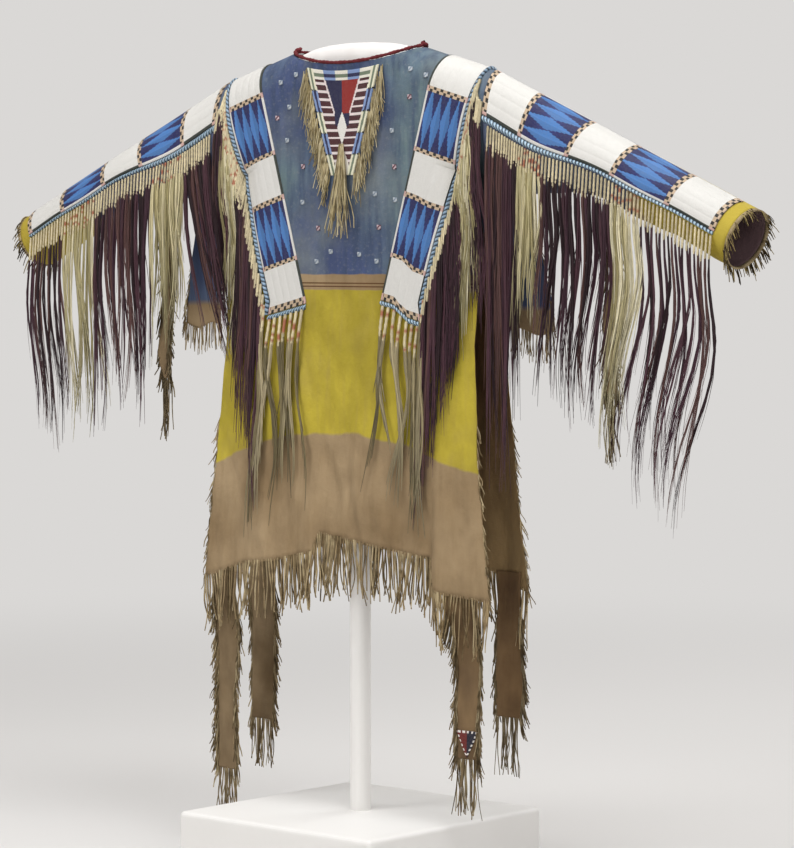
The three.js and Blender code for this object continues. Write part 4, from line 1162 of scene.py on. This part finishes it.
def thongs(root, drift, length, radius, tones=THONG_TONES, sway=0.05, rings=8):
    """Thongs hung from roots: each falls by its length while it drifts aside, sways in a
    slow wave of its own, and thins a little to its cut end."""
    n = len(root)
    s = np.linspace(0, 1, rings)[None, :]
    own = rng.uniform(-1, 1, (n, 4, 1))
    way_down = length[:, None] * s
    bend = sway * way_down * (np.sin(s * 5.5 + 3 * own[:, 0]) * own[:, 1] + 0.8 * own[:, 2] * s)
    fall = np.sqrt(np.clip(1 - (drift ** 2).sum(-1), 0.1, 1))[:, None]
    path = np.stack([
        root[:, :1] + drift[:, :1] * way_down + bend,
        root[:, 1:2] + drift[:, 1:2] * way_down + 0.4 * bend * own[:, 3],
        root[:, 2:] - way_down * fall], -1)
    thick = radius * rng.uniform(0.75, 1.2, (n, 1)) * (1.05 - 0.45 * s)
    tone = np.array(tones)[rng.integers(0, len(tones), n)][:, None, :] * rng.uniform(0.75, 1.15, (n, 1, 1))
    return strands(path, thick, np.clip(tone * np.ones((1, rings, 1)), 0, 1))


def thong_piece(name, parts, replaced=()):
    """One piece from sets of thongs."""
    points, faces, tints = joined(parts)
    piece(name, points, faces, THONG, replaced, tint=tints)


def bib_half(t):
    """Half the bib's width at t down from the neck."""
    return BIB_HALF + (BIB_TIP_HALF - BIB_HALF) * t


def bib_point(w, t, off):
    """A point of the bib: w across from -1 to 1, t down from the neck to the tip, off out
    from the hide, both edges drawing in evenly to the tip."""
    x = w * bib_half(t)
    z = (shoulder_z(x, FRONT) - BIB_TOP_GAP) * (1 - t) + BIB_TIP * t
    return np.stack([x, -(hide_depth(x, z, FRONT) + off), z], -1)


def bib_colours(x, t):
    """Bead and cloth colours of the bib from x and the share of the way down: a top row of
    five blocks, edge stripes in five lengths, a ladder of maroon blocks with white rungs, and
    in the middle a navy and red triangle in white lines over a long white lozenge."""
    rung, grey, pale, navy = tones_of("#e6d8d6", "#6f7c66", "#7f97c4", "#0e1046")
    half = bib_half(t)
    out = choose((t * 200 / 14.6 + 0.35) % 1 < 0.29, rung, srgb("#430f19"))
    # the triangle, its left half and its foot navy, in white lines
    middle_half = np.interp(t, [0.09, 0.40, 0.52, 0.55], [0.042, 0.0190, 0.0165, 0.005])
    centre = (np.abs(x) < middle_half) & (t < 0.55)
    out[centre] = navy * 0.8
    out[centre & (x >= 0) & (t <= 0.41)] = srgb("#8c160f")
    out[(np.abs(np.abs(x) - middle_half) < 0.0019) & (t < 0.41)] = rung
    # the lozenge, and the white that opens out below it
    out[np.abs(x) < 0.0115 * np.clip(1 - np.abs(t - 0.545) / 0.145, 0, 1) ** 0.75] = srgb("#e6e3dc")
    out[(np.abs(x) < 0.016 * ease(0.69, 0.95, t) + 0.002) & (t > 0.69)] = srgb("#e2dcd0")
    # the top row: five blocks in three stripes
    blue = np.floor((x / half + 0.86) / 1.72 * 5) % 2 == 1
    stripe = np.floor(t / 0.095 * 3)
    band = choose(stripe == 1, choose(blue, navy, grey), choose(blue, pale, srgb("#e9e4d6")))
    out = choose(t < 0.095, band, out)
    # the edges: three lanes in five lengths, with dark dots at their joints
    from_edge = half - np.abs(x)
    blue = np.floor(t * 5) % 2 == 1
    lane = np.floor(from_edge / 0.00484)
    stripes = choose(lane == 1, choose(blue, navy, grey), choose(blue, pale, srgb("#e6e2c8")))
    joint = (np.abs(t * 5 - np.round(t * 5)) < 0.03) & (t > 0.1) & (t < 0.95)
    stripes = choose(joint & (np.floor(from_edge / 0.0024) % 2 == 0), srgb("#14110f"), stripes)
    return choose(from_edge < 0.0145, stripes, out)


def middles(count):
    """The middles of a count of even steps from 0 to 1."""
    return (np.arange(count) + 0.5) / count


bib_rows, bib_cols = BIB_BEADS
w, t = np.meshgrid(np.linspace(-1, 1, bib_cols + 1), np.linspace(0, 1, bib_rows + 1))
low, high = bib_point(w, t, BIB_WALL[0]), bib_point(w, t, BIB_WALL[1])
w_mid, t_mid = np.meshgrid(2 * middles(bib_cols) - 1, middles(bib_rows))
cell = bib_colours(w_mid * bib_half(t_mid), t_mid)
bead_piece("bib_beads", [slab(high, low, cell)], ("bib",), (high[..., 0] / BEAD, high[..., 2] / BEAD))

count = BIB_EDGE_THONGS
edge_t = rng.uniform(0.0, 1.0, count)
edge_side = np.where(np.arange(count) % 2 == 0, -1.0, 1.0)
root = bib_point(edge_side, edge_t, 0.0025)
root[:, 0] += edge_side * rng.uniform(0.000, 0.012, count)
drift = np.stack([edge_side * rng.uniform(-0.04, 0.30, count), -rng.uniform(0.02, 0.14, count)], -1)
edge_fringe = thongs(root, drift, rng.uniform(0.034, 0.066, count), 0.0012, PALE_TONES, 0.12, 7)
count = BIB_TASSEL_THONGS
root = bib_point(rng.uniform(-0.10, 0.10, count), np.full(count, 0.70), 0.006)
drift = np.stack([rng.uniform(-0.15, 0.15, count), -rng.uniform(0.02, 0.10, count)], -1)
tassel = thongs(root, drift, rng.uniform(0.100, 0.172, count), 0.0015, PALE_TONES, 0.06, 9)
thong_piece("bib_thongs", [edge_fringe, tassel], ("bib_fringe",))

# ---------------------------------------------------------------------------
# Neck binding: dark red wool folded over the edge of the neck opening and whipped down,
# with a small knot where its ends meet on the shoulder.
# ---------------------------------------------------------------------------
WOOL_RINGS, WOOL_SIDES = 260, 12
KNOT_RINGS, KNOT_SIDES = 14, 10
WOOL_RISE = 0.0036             # the middle of the roll above the edge of the hide


def wool():
    """Felted red wool: short crossing fibres over an uneven deep red."""
    material, tree, shader = new_material("red_wool")
    where = place_on(tree)[0]
    cloud = stretch(tree, noise(tree, where, 60.0, 3.0), 0.3, 0.7)
    finish(tree, shader, mix(tree, cloud, "#541c20", "#763034"), 0.95, 0.25)
    bump(tree, shader, noise(tree, where, 900.0, 4.0, 1.5), 0.8, 0.0016)
    return material


def round_tube(path, radius, cols, closed=False):
    """A tube along a path: rings of the given radii, square to the path."""
    way = unit(np.roll(path, -1, 0) - np.roll(path, 1, 0) if closed else np.gradient(path, axis=0))
    u = unit(np.cross(way, [0.0, 0.0, 1.0]))
    v = np.cross(way, u)
    a = circle(cols)[:, None]
    return path[:, None] + (u[:, None] * np.cos(a) + v[:, None] * np.sin(a)) * radius[..., None, None]


def ring_faces(rows, cols):
    """Quads of a tube closed on itself."""
    ids = np.arange(rows * cols).reshape(rows, cols)
    following = np.roll(ids, -1, 0)
    quad = np.stack([ids, np.roll(ids, -1, 1), np.roll(following, -1, 1), following], -1)
    return quad.reshape(-1, 4)


def untinted(rings, faces):
    """Points, faces and an empty tint, as joined takes them."""
    points = rings.reshape(-1, 3)
    return points, faces, np.zeros(points.shape)


WOOL = wool()
turn = circle(WOOL_RINGS)
x = (NECK_HALF - 0.002) * np.cos(turn)
facing = np.sin(turn) < 0
z = np.where(facing, shoulder_z(x * 1.01, FRONT), shoulder_z(x * 1.01, BACK)) + WOOL_RISE
z = np.convolve(np.concatenate([z[-6:], z, z[:6]]), np.ones(13) / 13, "valid")
path = np.stack([x, np.where(facing, NECK_DEEP[FRONT], NECK_DEEP[BACK]) * np.sin(turn), z], -1)
whip = 0.0029 + 0.0004 * np.sin(turn * 90) + 0.0004 * np.sin(turn * 23)
parts = [untinted(round_tube(path, whip, WOOL_SIDES, True), ring_faces(WOOL_RINGS, WOOL_SIDES))]
s = np.linspace(0, 1, KNOT_RINGS)
for end in (-1, 1):
    knot = np.stack([end * (0.152 + 0.004 * np.sin(s * 6)), 0.003 * np.sin(s * 9), 1.472 + 0.008 * s], -1)
    rings = round_tube(knot, 0.0022 + 0.0015 * np.sin(s * math.pi), KNOT_SIDES)
    parts.append(untinted(rings, grid_faces(KNOT_RINGS, KNOT_SIDES, True)))
points, faces, _ = joined(parts)
piece("neck_wool", points, faces, WOOL, ("neck_binding",))

# ---------------------------------------------------------------------------
# Small checks scattered over the blue: four tiny squares of beads, pink and dark or white
# and pale blue by turns, sewn to the hide front and back.
# ---------------------------------------------------------------------------
CHECK_HALF = 0.0042
WHITE_SPOTS = [
    (-0.154, 1.416), (-0.117, 1.429), (-0.132, 1.371), (-0.137, 1.311), (-0.099, 1.199),
    (-0.064, 1.092), (-0.028, 1.110), (0.157, 1.430), (0.193, 1.418), (0.115, 1.323),
    (0.076, 1.212), (0.124, 1.201), (0.038, 1.105), (0.081, 1.093),
]
PINK_SPOTS = [
    (-0.097, 1.263), (-0.060, 1.152), (0.157, 1.381), (0.122, 1.259), (0.086, 1.153), (-0.162, 1.352)]
PINK_TONES, WHITE_TONES = tones_of("#c9b4ba", "#5c2c3a"), tones_of("#b9c0c6", "#7f8c9c")
checks = []
for side in (FRONT, BACK):
    for spots, tones in ((PINK_SPOTS, PINK_TONES), (WHITE_SPOTS, WHITE_TONES)):
        tone = choose(np.indices((4, 4)).sum(0) // 2 % 2 == 0, *tones)
        for cx, cz in spots:
            step = np.linspace(-CHECK_HALF, CHECK_HALF, 5)
            gx, gz = np.meshgrid(cx + step, cz - step)
            ground = hide_depth(gx, gz, side) + crease_height(gx, gz, side)
            low, high = (np.stack([gx, side * (ground + off), gz], -1) for off in (0.0004, 0.0019))
            checks.append(slab(high, low, tone))
bead_piece("scattered_checks", checks)

# ---------------------------------------------------------------------------
# Cuffs: each sleeve ends in a cut fringe, short thongs standing off all round the opening.
# ---------------------------------------------------------------------------
DARK_TONES = tones_of("#4f4228", "#6d5d3a", "#8a784e", "#3a2f20", "#a08f5e")
CUFF_THONGS = 150
CUFF_RINGS = 6                 # points along a cuff thong
CUFF_ROUND = 96
# the section of the strip round the opening: how far out from the sleeve and past its end
CUFF_STRIP = ((0.0002, -0.001), (0.0006, 0.006), (-0.0022, 0.006), (-0.0022, -0.001))

for hand, name in HANDS:
    count, cuff = CUFF_THONGS, np.ones(CUFF_THONGS)
    along = np.array([math.cos(DROOP) * hand, 0.0, -math.sin(DROOP)])
    angle = rng.uniform(0, 2 * math.pi, count)
    root = sleeve_points(cuff, angle, -0.001, hand) + along * rng.uniform(-0.002, 0.001, (count, 1))
    ring = np.stack([
        sleeve_points(np.ones(CUFF_ROUND), circle(CUFF_ROUND), off, hand) + along * push
        for off, push in CUFF_STRIP], 1).reshape(-1, 3)
    rim_faces = np.roll(ring_faces(CUFF_ROUND, len(CUFF_STRIP)), -1, 1)
    if hand == RIGHT:
        rim_faces = rim_faces[:, ::-1]
    rim = (ring, rim_faces, np.tile(THONG_TONES[0] * 0.8, (len(ring), 1)))
    s = np.linspace(0, 1, CUFF_RINGS)[None, :, None]
    long = rng.uniform(0.009, 0.020, (count, 1, 1))
    outward = unit(root - sleeve_points(cuff, angle, -0.05, hand))
    lean = along * 0.75 + outward * rng.uniform(0.1, 0.7, (count, 1)) + rng.uniform(-0.3, 0.3, (count, 3))
    path = root[:, None] + lean[:, None] * long * s + np.array([0, 0, -1.0]) * long * 0.9 * s ** 2
    tint = np.array(DARK_TONES)[rng.integers(0, 5, count)][:, None] * np.ones((1, CUFF_RINGS, 1))
    thick = 0.0012 * rng.uniform(0.8, 1.3, (count, 1)) * (1.1 - 0.5 * s[..., 0])
    thong_piece(f"cuff_thongs_{name}", [rim, strands(path, thick, tint)], (f"cuff_fringe_{name}",))

# ---------------------------------------------------------------------------
# Under the arms: a painted flap of the hide hangs below each armpit, and a narrow strip
# from each sleeve's underside; both are cut into fringe along their lower ends and edges.
# ---------------------------------------------------------------------------
FLAP_END, FLAP_INNER, FLAP_WIDE = 0.972, 0.348, 0.098
FLAP_DOWN = [0, 0.35, 0.6, 0.8, 1]
FLAP_END_THONGS, FLAP_SIDE_THONGS = 46, 40
PENDANT_X = {LEFT: 0.496, RIGHT: 0.572}
PENDANT_END = 0.870
PENDANT_SIDE_THONGS, PENDANT_END_THONGS = 240, 14
DARK_THONGS = [tone * 0.50 for tone in THONG_TONES]


def flap_paint():
    """Slate blue down to a tan end, the border uneven."""
    material, tree, shader = new_material("flap_hide")
    grain = use_grain(tree, 9.0)
    uneven = calc(tree, "ADD", place_on(tree)[3], calc(tree, "MULTIPLY", grain["Mottle"], 0.02))
    blue = layered(tree, mottled(tree, grain, "#5b6a80", "#47527c", 0.35, 0.65), [
        (grain["Streak"], 0.45, 0.70, 0.5, "#39456c"),
    ])
    tan = mottled(tree, grain, TAN_DARK, TAN_LIGHT)
    finish_hide(tree, shader, layered(tree, tan, [(uneven, 1.018, 1.028, 1.0, blue)]), grain)
    return material


FLAP_HIDE = flap_paint()


def under_sleeve(x):
    """Height of the sleeve's underside at a distance from the middle."""
    s = np.linspace(0, 1, LINE_STEPS)
    low = sleeve_points(s, np.full(LINE_STEPS, math.pi), 0.0, RIGHT)
    return np.interp(x, low[:, 0], low[:, 2])


def hanging_hide(name, hand, x, y, z, material, replaced):
    """A hide hanging below a sleeve, from the places of its grid on the right side."""
    face = np.stack([hand * x, y - HIDE_THICK / 2, z], -1)
    return shell(name, face, normals_of(face, np.array([0.0, -1.0, 0.0])), material, (replaced,))


def flap_end(w):
    """Height of the flap's lower end, w across it."""
    return FLAP_END + 0.006 * np.sin(w * 7)


def pendant_sway(t, hand):
    """How far the narrow strip stands forward or back, t down it."""
    return 0.004 * np.sin(t * 8 + PENDANT_X[hand] * 9)


for hand, name in HANDS:
    t, w = np.meshgrid(np.linspace(0, 1, 50), np.linspace(0, 1, 26), indexing="ij")
    inner = np.interp(t, FLAP_DOWN[:3] + [1], [0.352, 0.350, FLAP_INNER, FLAP_INNER])
    x = inner + np.interp(t, FLAP_DOWN, [0.050, 0.066, 0.082, 0.093, FLAP_WIDE]) * w
    z = (under_sleeve(x) - 0.0014) * (1 - t) + flap_end(w) * t
    y = 0.004 * np.sin(t * 5 + w * 3) * ease(0, 0.2, t)
    flap = hanging_hide(f"flap_{name}", hand, x, y, z, FLAP_HIDE, f"underarm_flap_{name}")
    ends, sides = FLAP_END_THONGS, FLAP_SIDE_THONGS
    end_w = rng.uniform(0, 1, ends)
    end_root = np.stack([hand * (FLAP_INNER + FLAP_WIDE * end_w), 0 * end_w, flap_end(end_w) + 0.002], -1)
    side_t = rng.uniform(0.25, 1, sides)
    edge_x = np.interp(side_t, FLAP_DOWN, [0.402, 0.416, 0.430, 0.441, 0.446])
    side_root = np.stack([hand * (edge_x - 0.001), 0 * side_t, 1.2 * (1 - side_t) + FLAP_END * side_t], -1)
    drift = np.concatenate([
        rng.uniform(-0.08, 0.08, (ends, 2)),
        np.stack([hand * rng.uniform(0.2, 0.5, sides), rng.uniform(-0.1, 0.1, sides)], -1)])
    long = np.concatenate([rng.uniform(0.030, 0.055, ends), rng.uniform(0.018, 0.030, sides)])
    thong_piece(f"flap_thongs_{name}", [thongs(np.concatenate([end_root, side_root]), drift, long, 0.0013)])

    t, w = np.meshgrid(np.linspace(0, 1, 70), np.linspace(-1, 1, 9), indexing="ij")
    half = 0.0115 + 0.0014 * np.sin(t * 23) + 0.0012 * np.sin(t * 9 + 1)
    x = PENDANT_X[hand] + half * w
    z = (under_sleeve(x) - 0.0006) * (1 - t) + PENDANT_END * t
    y = (pendant_sway(t, hand) + 0.005 * w * np.sin(t * 13)) * ease(0, 0.2, t)
    pendant = hanging_hide(f"pendant_{name}", hand, x, y, z, SMOKED, f"sleeve_pendant_{name}")
    ends, sides = PENDANT_END_THONGS, PENDANT_SIDE_THONGS
    side_t = rng.uniform(0.12, 1, sides)
    side_w = np.where(rng.uniform(0, 1, sides) < 0.5, -1.0, 1.0)
    side_z = 1.24 * (1 - side_t) + PENDANT_END * side_t
    side_root = np.stack([hand * (PENDANT_X[hand] + side_w * 0.0105), pendant_sway(side_t, hand), side_z], -1)
    end_x = hand * (PENDANT_X[hand] + 0.012 * rng.uniform(-1, 1, ends))
    end_root = np.stack([end_x, np.full(ends, 0.002), np.full(ends, PENDANT_END + 0.002)], -1)
    drift = np.concatenate([
        np.stack([hand * side_w * rng.uniform(-0.05, 0.30, sides), rng.uniform(-0.2, 0.2, sides)], -1),
        rng.uniform(-0.08, 0.08, (ends, 2))])
    long = np.concatenate([rng.uniform(0.026, 0.044, sides), rng.uniform(0.095, 0.128, ends)])
    fringe = thongs(np.concatenate([side_root, end_root]), drift, long, 0.0017, DARK_THONGS, 0.10)
    thong_piece(f"pendant_thongs_{name}", [fringe])

# ---------------------------------------------------------------------------
# Hem fringe: the lower edge of each hide is set with a strip of hide cut into long thongs,
# which hang a little unevenly and gather in small bunches.
# ---------------------------------------------------------------------------
HEM_THONGS = {FRONT: 150, BACK: 140}
SIDE_THONGS = 110

for side, name in FACINGS:
    count = HEM_THONGS[side]
    place = (np.arange(count) + rng.uniform(0.2, 0.8, count)) / count
    root = hide_points(np.clip(place, 0.002, 0.998) * LAST_COLUMN, np.full(count, float(HEM_ROW)), side)
    root += (0, -side * 0.001, 0.004)
    lean = 0.10 * np.sin(place * 61) + 0.07 * np.sin(place * 23 + 1)
    drift = np.stack([lean + rng.uniform(-0.05, 0.05, count), side * rng.uniform(-0.04, 0.10, count)], -1)
    length = rng.uniform(0.084, 0.112, count)
    edge_c = np.where(np.arange(SIDE_THONGS) % 2 == 0, 0.05, LAST_COLUMN - 0.05)
    edge = hide_points(edge_c, rng.uniform(15.0, HEM_ROW, SIDE_THONGS), side)
    edge[:, 1] -= side * 0.001
    away = np.sign(edge[:, 0]) * rng.uniform(0.1, 0.5, SIDE_THONGS)
    aside = np.stack([away, side * rng.uniform(-0.1, 0.2, SIDE_THONGS)], -1)
    thong_piece(f"hem_thongs_{name}", [
        thongs(root, drift, length, 0.0021, THONG_TONES, 0.08, 10),
        thongs(edge, aside, rng.uniform(0.016, 0.034, SIDE_THONGS), 0.0013, THONG_TONES, 0.14, 7),
    ], (f"hem_fringe_{name}",))

# ---------------------------------------------------------------------------
# Legs: the long leg ends of the two hides hang from behind the hem, cut into short fringe
# down both edges and long fringe at the end; one carries a small beaded triangle.
# ---------------------------------------------------------------------------
LEG_HALF = 0.028
LEG_TOP = 0.548
LEG_END_THONGS = 22
LEG_FRINGE = 520               # thongs for each metre of a leg's edge
PALE_LEG = plain_hide("pale_leg_hide", TAN_LIGHT * 0.75, TAN_DARK * 0.65)
# the back right leg's hide is darkened as painted shade
SHADED_LEG = plain_hide("shaded_leg_hide", srgb("#866b4a"), srgb("#56402a"))
MIDDLE_LEG = plain_hide("middle_leg_hide", srgb("#8c7352"), srgb("#65503a"))
# name, x, the hide it hangs from, heights of its end and of its fringe's tips, its own hide,
# and how dark its thongs are; the back right leg's hide and thongs are darkened as painted shade
LEGS = [
    ("front_left", -0.293, FRONT, 0.150, 0.062, PALE_LEG, 0.80),
    ("front_right", 0.293, FRONT, 0.226, 0.118, MIDDLE_LEG, 0.68),
    ("back_left", -0.300, BACK, 0.232, 0.134, PALE_LEG, 0.80),
    ("back_right", 0.300, BACK, 0.290, 0.178, SHADED_LEG, 0.55),
]


def leg_point(x0, side, w, z, off):
    """A point of a leg: tucked behind the hide above the hem, then hanging at a set
    distance with a slow ripple, its edges uneven; w across from -1 to 1."""
    half = LEG_HALF * (0.86 + 0.17 * ease(0.2, 0.52, z)) + 0.0015 * np.sin(z * 1000 / 37 + x0 * 1000)
    x = x0 + w * half
    gap, hang = (0.0013, 0.046) if side == FRONT else (0.0009, 0.058)
    tucked = hide_depth(x, z, side) + crease_height(x, z, side) - HIDE_THICK - gap
    y = hang + (tucked - hang) * ease(0.43, 0.50, z)
    wave = side * 0.003 * np.sin((z - 0.310) * 1000 / 45) * ease(0.505, 0.44, z)
    curl = 0.0022 * w * np.sin(z * 14 + x0 * 30) + 0.0012 * np.cos(w * 2.4 + z * 30)
    y = y + np.where(z < 0.310, 0, wave) + curl * ease(0.43, 0.36, z)
    return np.stack([x, side * (y + off), z], -1)


for name, x0, side, end, tip, leg_hide, shade in LEGS:
    t, w = np.meshgrid(np.linspace(0, 1, 90), np.linspace(-1, 1, 15), indexing="ij")
    face = leg_point(x0, side, w, LEG_TOP + (end - LEG_TOP) * t, 0.0)
    way = normals_of(face, np.array([0.0, float(side), 0.0]))
    leg = shell(f"hide_leg_{name}", face, way, leg_hide, (f"leg_{name}",))
    count, ends = int(LEG_FRINGE * (0.50 - end)), LEG_END_THONGS
    zs, ws = rng.uniform(end, 0.485, 2 * count), np.repeat([-1.0, 1.0], count)
    edge = leg_point(x0, side, ws * 0.97, zs, -0.001)
    end_root = leg_point(x0, side, rng.uniform(-0.95, 0.95, ends), np.full(ends, end + 0.003), -0.001)
    drift = np.concatenate([
        np.stack([ws * rng.uniform(-0.02, 0.32, 2 * count), side * rng.uniform(-0.02, 0.22, 2 * count)], -1),
        np.stack([rng.uniform(-0.10, 0.10, ends), rng.uniform(-0.06, 0.06, ends)], -1)])
    length = np.concatenate([
        rng.uniform(0.030, 0.048, 2 * count), (end - tip) * rng.uniform(0.82, 1.0, ends)])
    # the thongs darkened by the leg's value, deepest on the back right leg as painted shade
    tones = [tone * shade for tone in THONG_TONES]
    fringe = thongs(np.concatenate([edge, end_root]), drift, length, 0.0015, tones, 0.08, 7)
    thong_piece(f"leg_thongs_{name}", [fringe], (f"leg_fringe_{name}",))

# the beaded triangle on the front right leg, point down
TRIANGLE_HALF, TRIANGLE_TALL, TRIANGLE_BEADS = 0.0245, 0.046, 24
_, x0, side, end, *_ = LEGS[1]
corners = TRIANGLE_BEADS + 1
t, w = np.meshgrid(np.linspace(0, 1, corners), np.linspace(-1, 1, corners), indexing="ij")
w = w * (TRIANGLE_HALF * (1 - t) + 0.0004) / TRIANGLE_HALF
low, high = (leg_point(x0, side, w, end + 0.050 - TRIANGLE_TALL * t, off) for off in (0.0003, 0.0022))
t_mid, w_mid = np.meshgrid(middles(TRIANGLE_BEADS), 2 * middles(TRIANGLE_BEADS) - 1, indexing="ij")
border = ((1 - np.abs(w_mid)) * TRIANGLE_HALF * (1 - t_mid) < 0.0026) | (t_mid > 0.92)
dashes = border & (np.floor(t_mid * 12) % 2 == 0)
dashes |= (t_mid < 0.09) & (np.floor(w_mid * 5) % 2 == 0)
cell = choose(dashes, srgb("#ece6df"), choose(w_mid < 0, srgb("#6c1812"), srgb("#131128")))
lattice = (high[..., 0] / BEAD, high[..., 2] / BEAD)
bead_piece("leg_beads", [slab(high, low, cell)], ("leg_triangle",), lattice)

# ---------------------------------------------------------------------------
# Stand: a padded shoulder form with an arm bar into each sleeve, covered in fine white
# cotton drawn tight over the padding, on a round painted post in a painted plinth.
# ---------------------------------------------------------------------------
# height, half width and half depth of the form, in millimetres
FORM_SECTIONS = np.array([
    (1200, 176, 24), (1206, 190, 27), (1250, 240, 31), (1300, 268, 33), (1340, 276, 33),
    (1380, 272, 32), (1408, 262, 31), (1428, 238, 32), (1442, 205, 33), (1454, 168, 34),
    (1465, 140, 33), (1474, 115, 29), (1480, 80, 22), (1483, 36, 11),
]) / 1000
FORM_ROWS, FORM_SIDES = 60, 64
BAR_ROWS, BAR_SIDES = 45, 20
BAR_DROP = HIDE_THICK + 0.022  # from the sleeve's ridge to the middle of the arm bar


def cloth_of_form():
    """Fine plain-woven cotton, its white darkened as painted shade from the shirt over it:
    crossing threads and a faint unevenness of the padding.
    """
    material, tree, shader = new_material("form_cloth")
    where = place_on(tree)[0]
    across, down = (
        node(tree, "ShaderNodeTexWave", {"bands_direction": way}, Vector=where, Scale=380.0).outputs["Fac"]
        for way in "XZ")
    cloud = stretch(tree, noise(tree, where, 25.0), 0.3, 0.7)
    # a greyer white than the stand's paint: painted shade inside the shirt
    finish(tree, shader, mix(tree, cloud, "#d9d5d2", "#e0ddda"), 0.9, 0.25)
    bump(tree, shader, calc(tree, "MULTIPLY", across, down), 0.25, 0.0004)
    return material


def stand_paint():
    """Smooth white board paint with a faint roller texture."""
    material, tree, shader = new_material("stand_paint")
    where = place_on(tree)[0]
    finish(tree, shader, mix(tree, noise(tree, where, 3.0), "#ebe9e6", "#eeece9"), 0.5, 0.25)
    bump(tree, shader, noise(tree, where, 260.0), 0.08, 0.0003)
    return material


FORM_CLOTH, STAND_PAINT = cloth_of_form(), stand_paint()
place = np.concatenate([[0], np.cumsum(np.hypot(*np.diff(FORM_SECTIONS[:, ::2], axis=0).T))])
dense = np.linspace(0, place[-1], FORM_ROWS)
picked = np.linspace(0, 599, FORM_ROWS).astype(int)
z, *straight = (np.interp(dense, place, FORM_SECTIONS[:, k]) for k in range(3))
rounded = (softened(place, FORM_SECTIONS[:, k], 0.012)[1][picked] for k in (1, 2))
wide, deep = (np.minimum(*pair)[:, None] for pair in zip(rounded, straight))
turn = circle(FORM_SIDES)
body = np.stack([wide * np.cos(turn), deep * np.sin(turn), z[:, None] + 0 * turn], -1)
form_parts = [(body.reshape(-1, 3), tube_faces(FORM_ROWS, FORM_SIDES))]
s = np.array([0.2, 0.35, 0.6, 0.9])
knots = np.concatenate([[[0.235, 0, 1.390], [0.320, 0, 1.383]], sleeve_ridge(s) - sleeve_up(s) * BAR_DROP])
run = run_along(knots)
places = np.linspace(0, run[-1], BAR_ROWS)
end_round = np.sqrt(np.clip(1 - (np.clip(places - (run[-1] - 0.015), 0, None) / 0.0152) ** 2, 0.02, 1))
radius = np.interp(places, [0, 0.08], [0.016, 0.0195]) * end_round
for hand in (LEFT, RIGHT):
    path = np.stack([np.interp(places, run, knots[:, k]) for k in range(3)], -1) * (hand, 1, 1)
    form_parts.append((round_tube(path, radius, BAR_SIDES).reshape(-1, 3), tube_faces(BAR_ROWS, BAR_SIDES)))
shift, points, faces = 0, [], []
for p, f in form_parts:
    points.append(p)
    faces += [[i + shift for i in face] for face in f]
    shift += len(p)
form = piece("form_cover", np.concatenate(points), faces, FORM_CLOTH, ("padded_form",))

for name in ("post", "plinth"):
    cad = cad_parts[name]
    cad.data.materials.clear()
    cad.data.materials.append(STAND_PAINT)
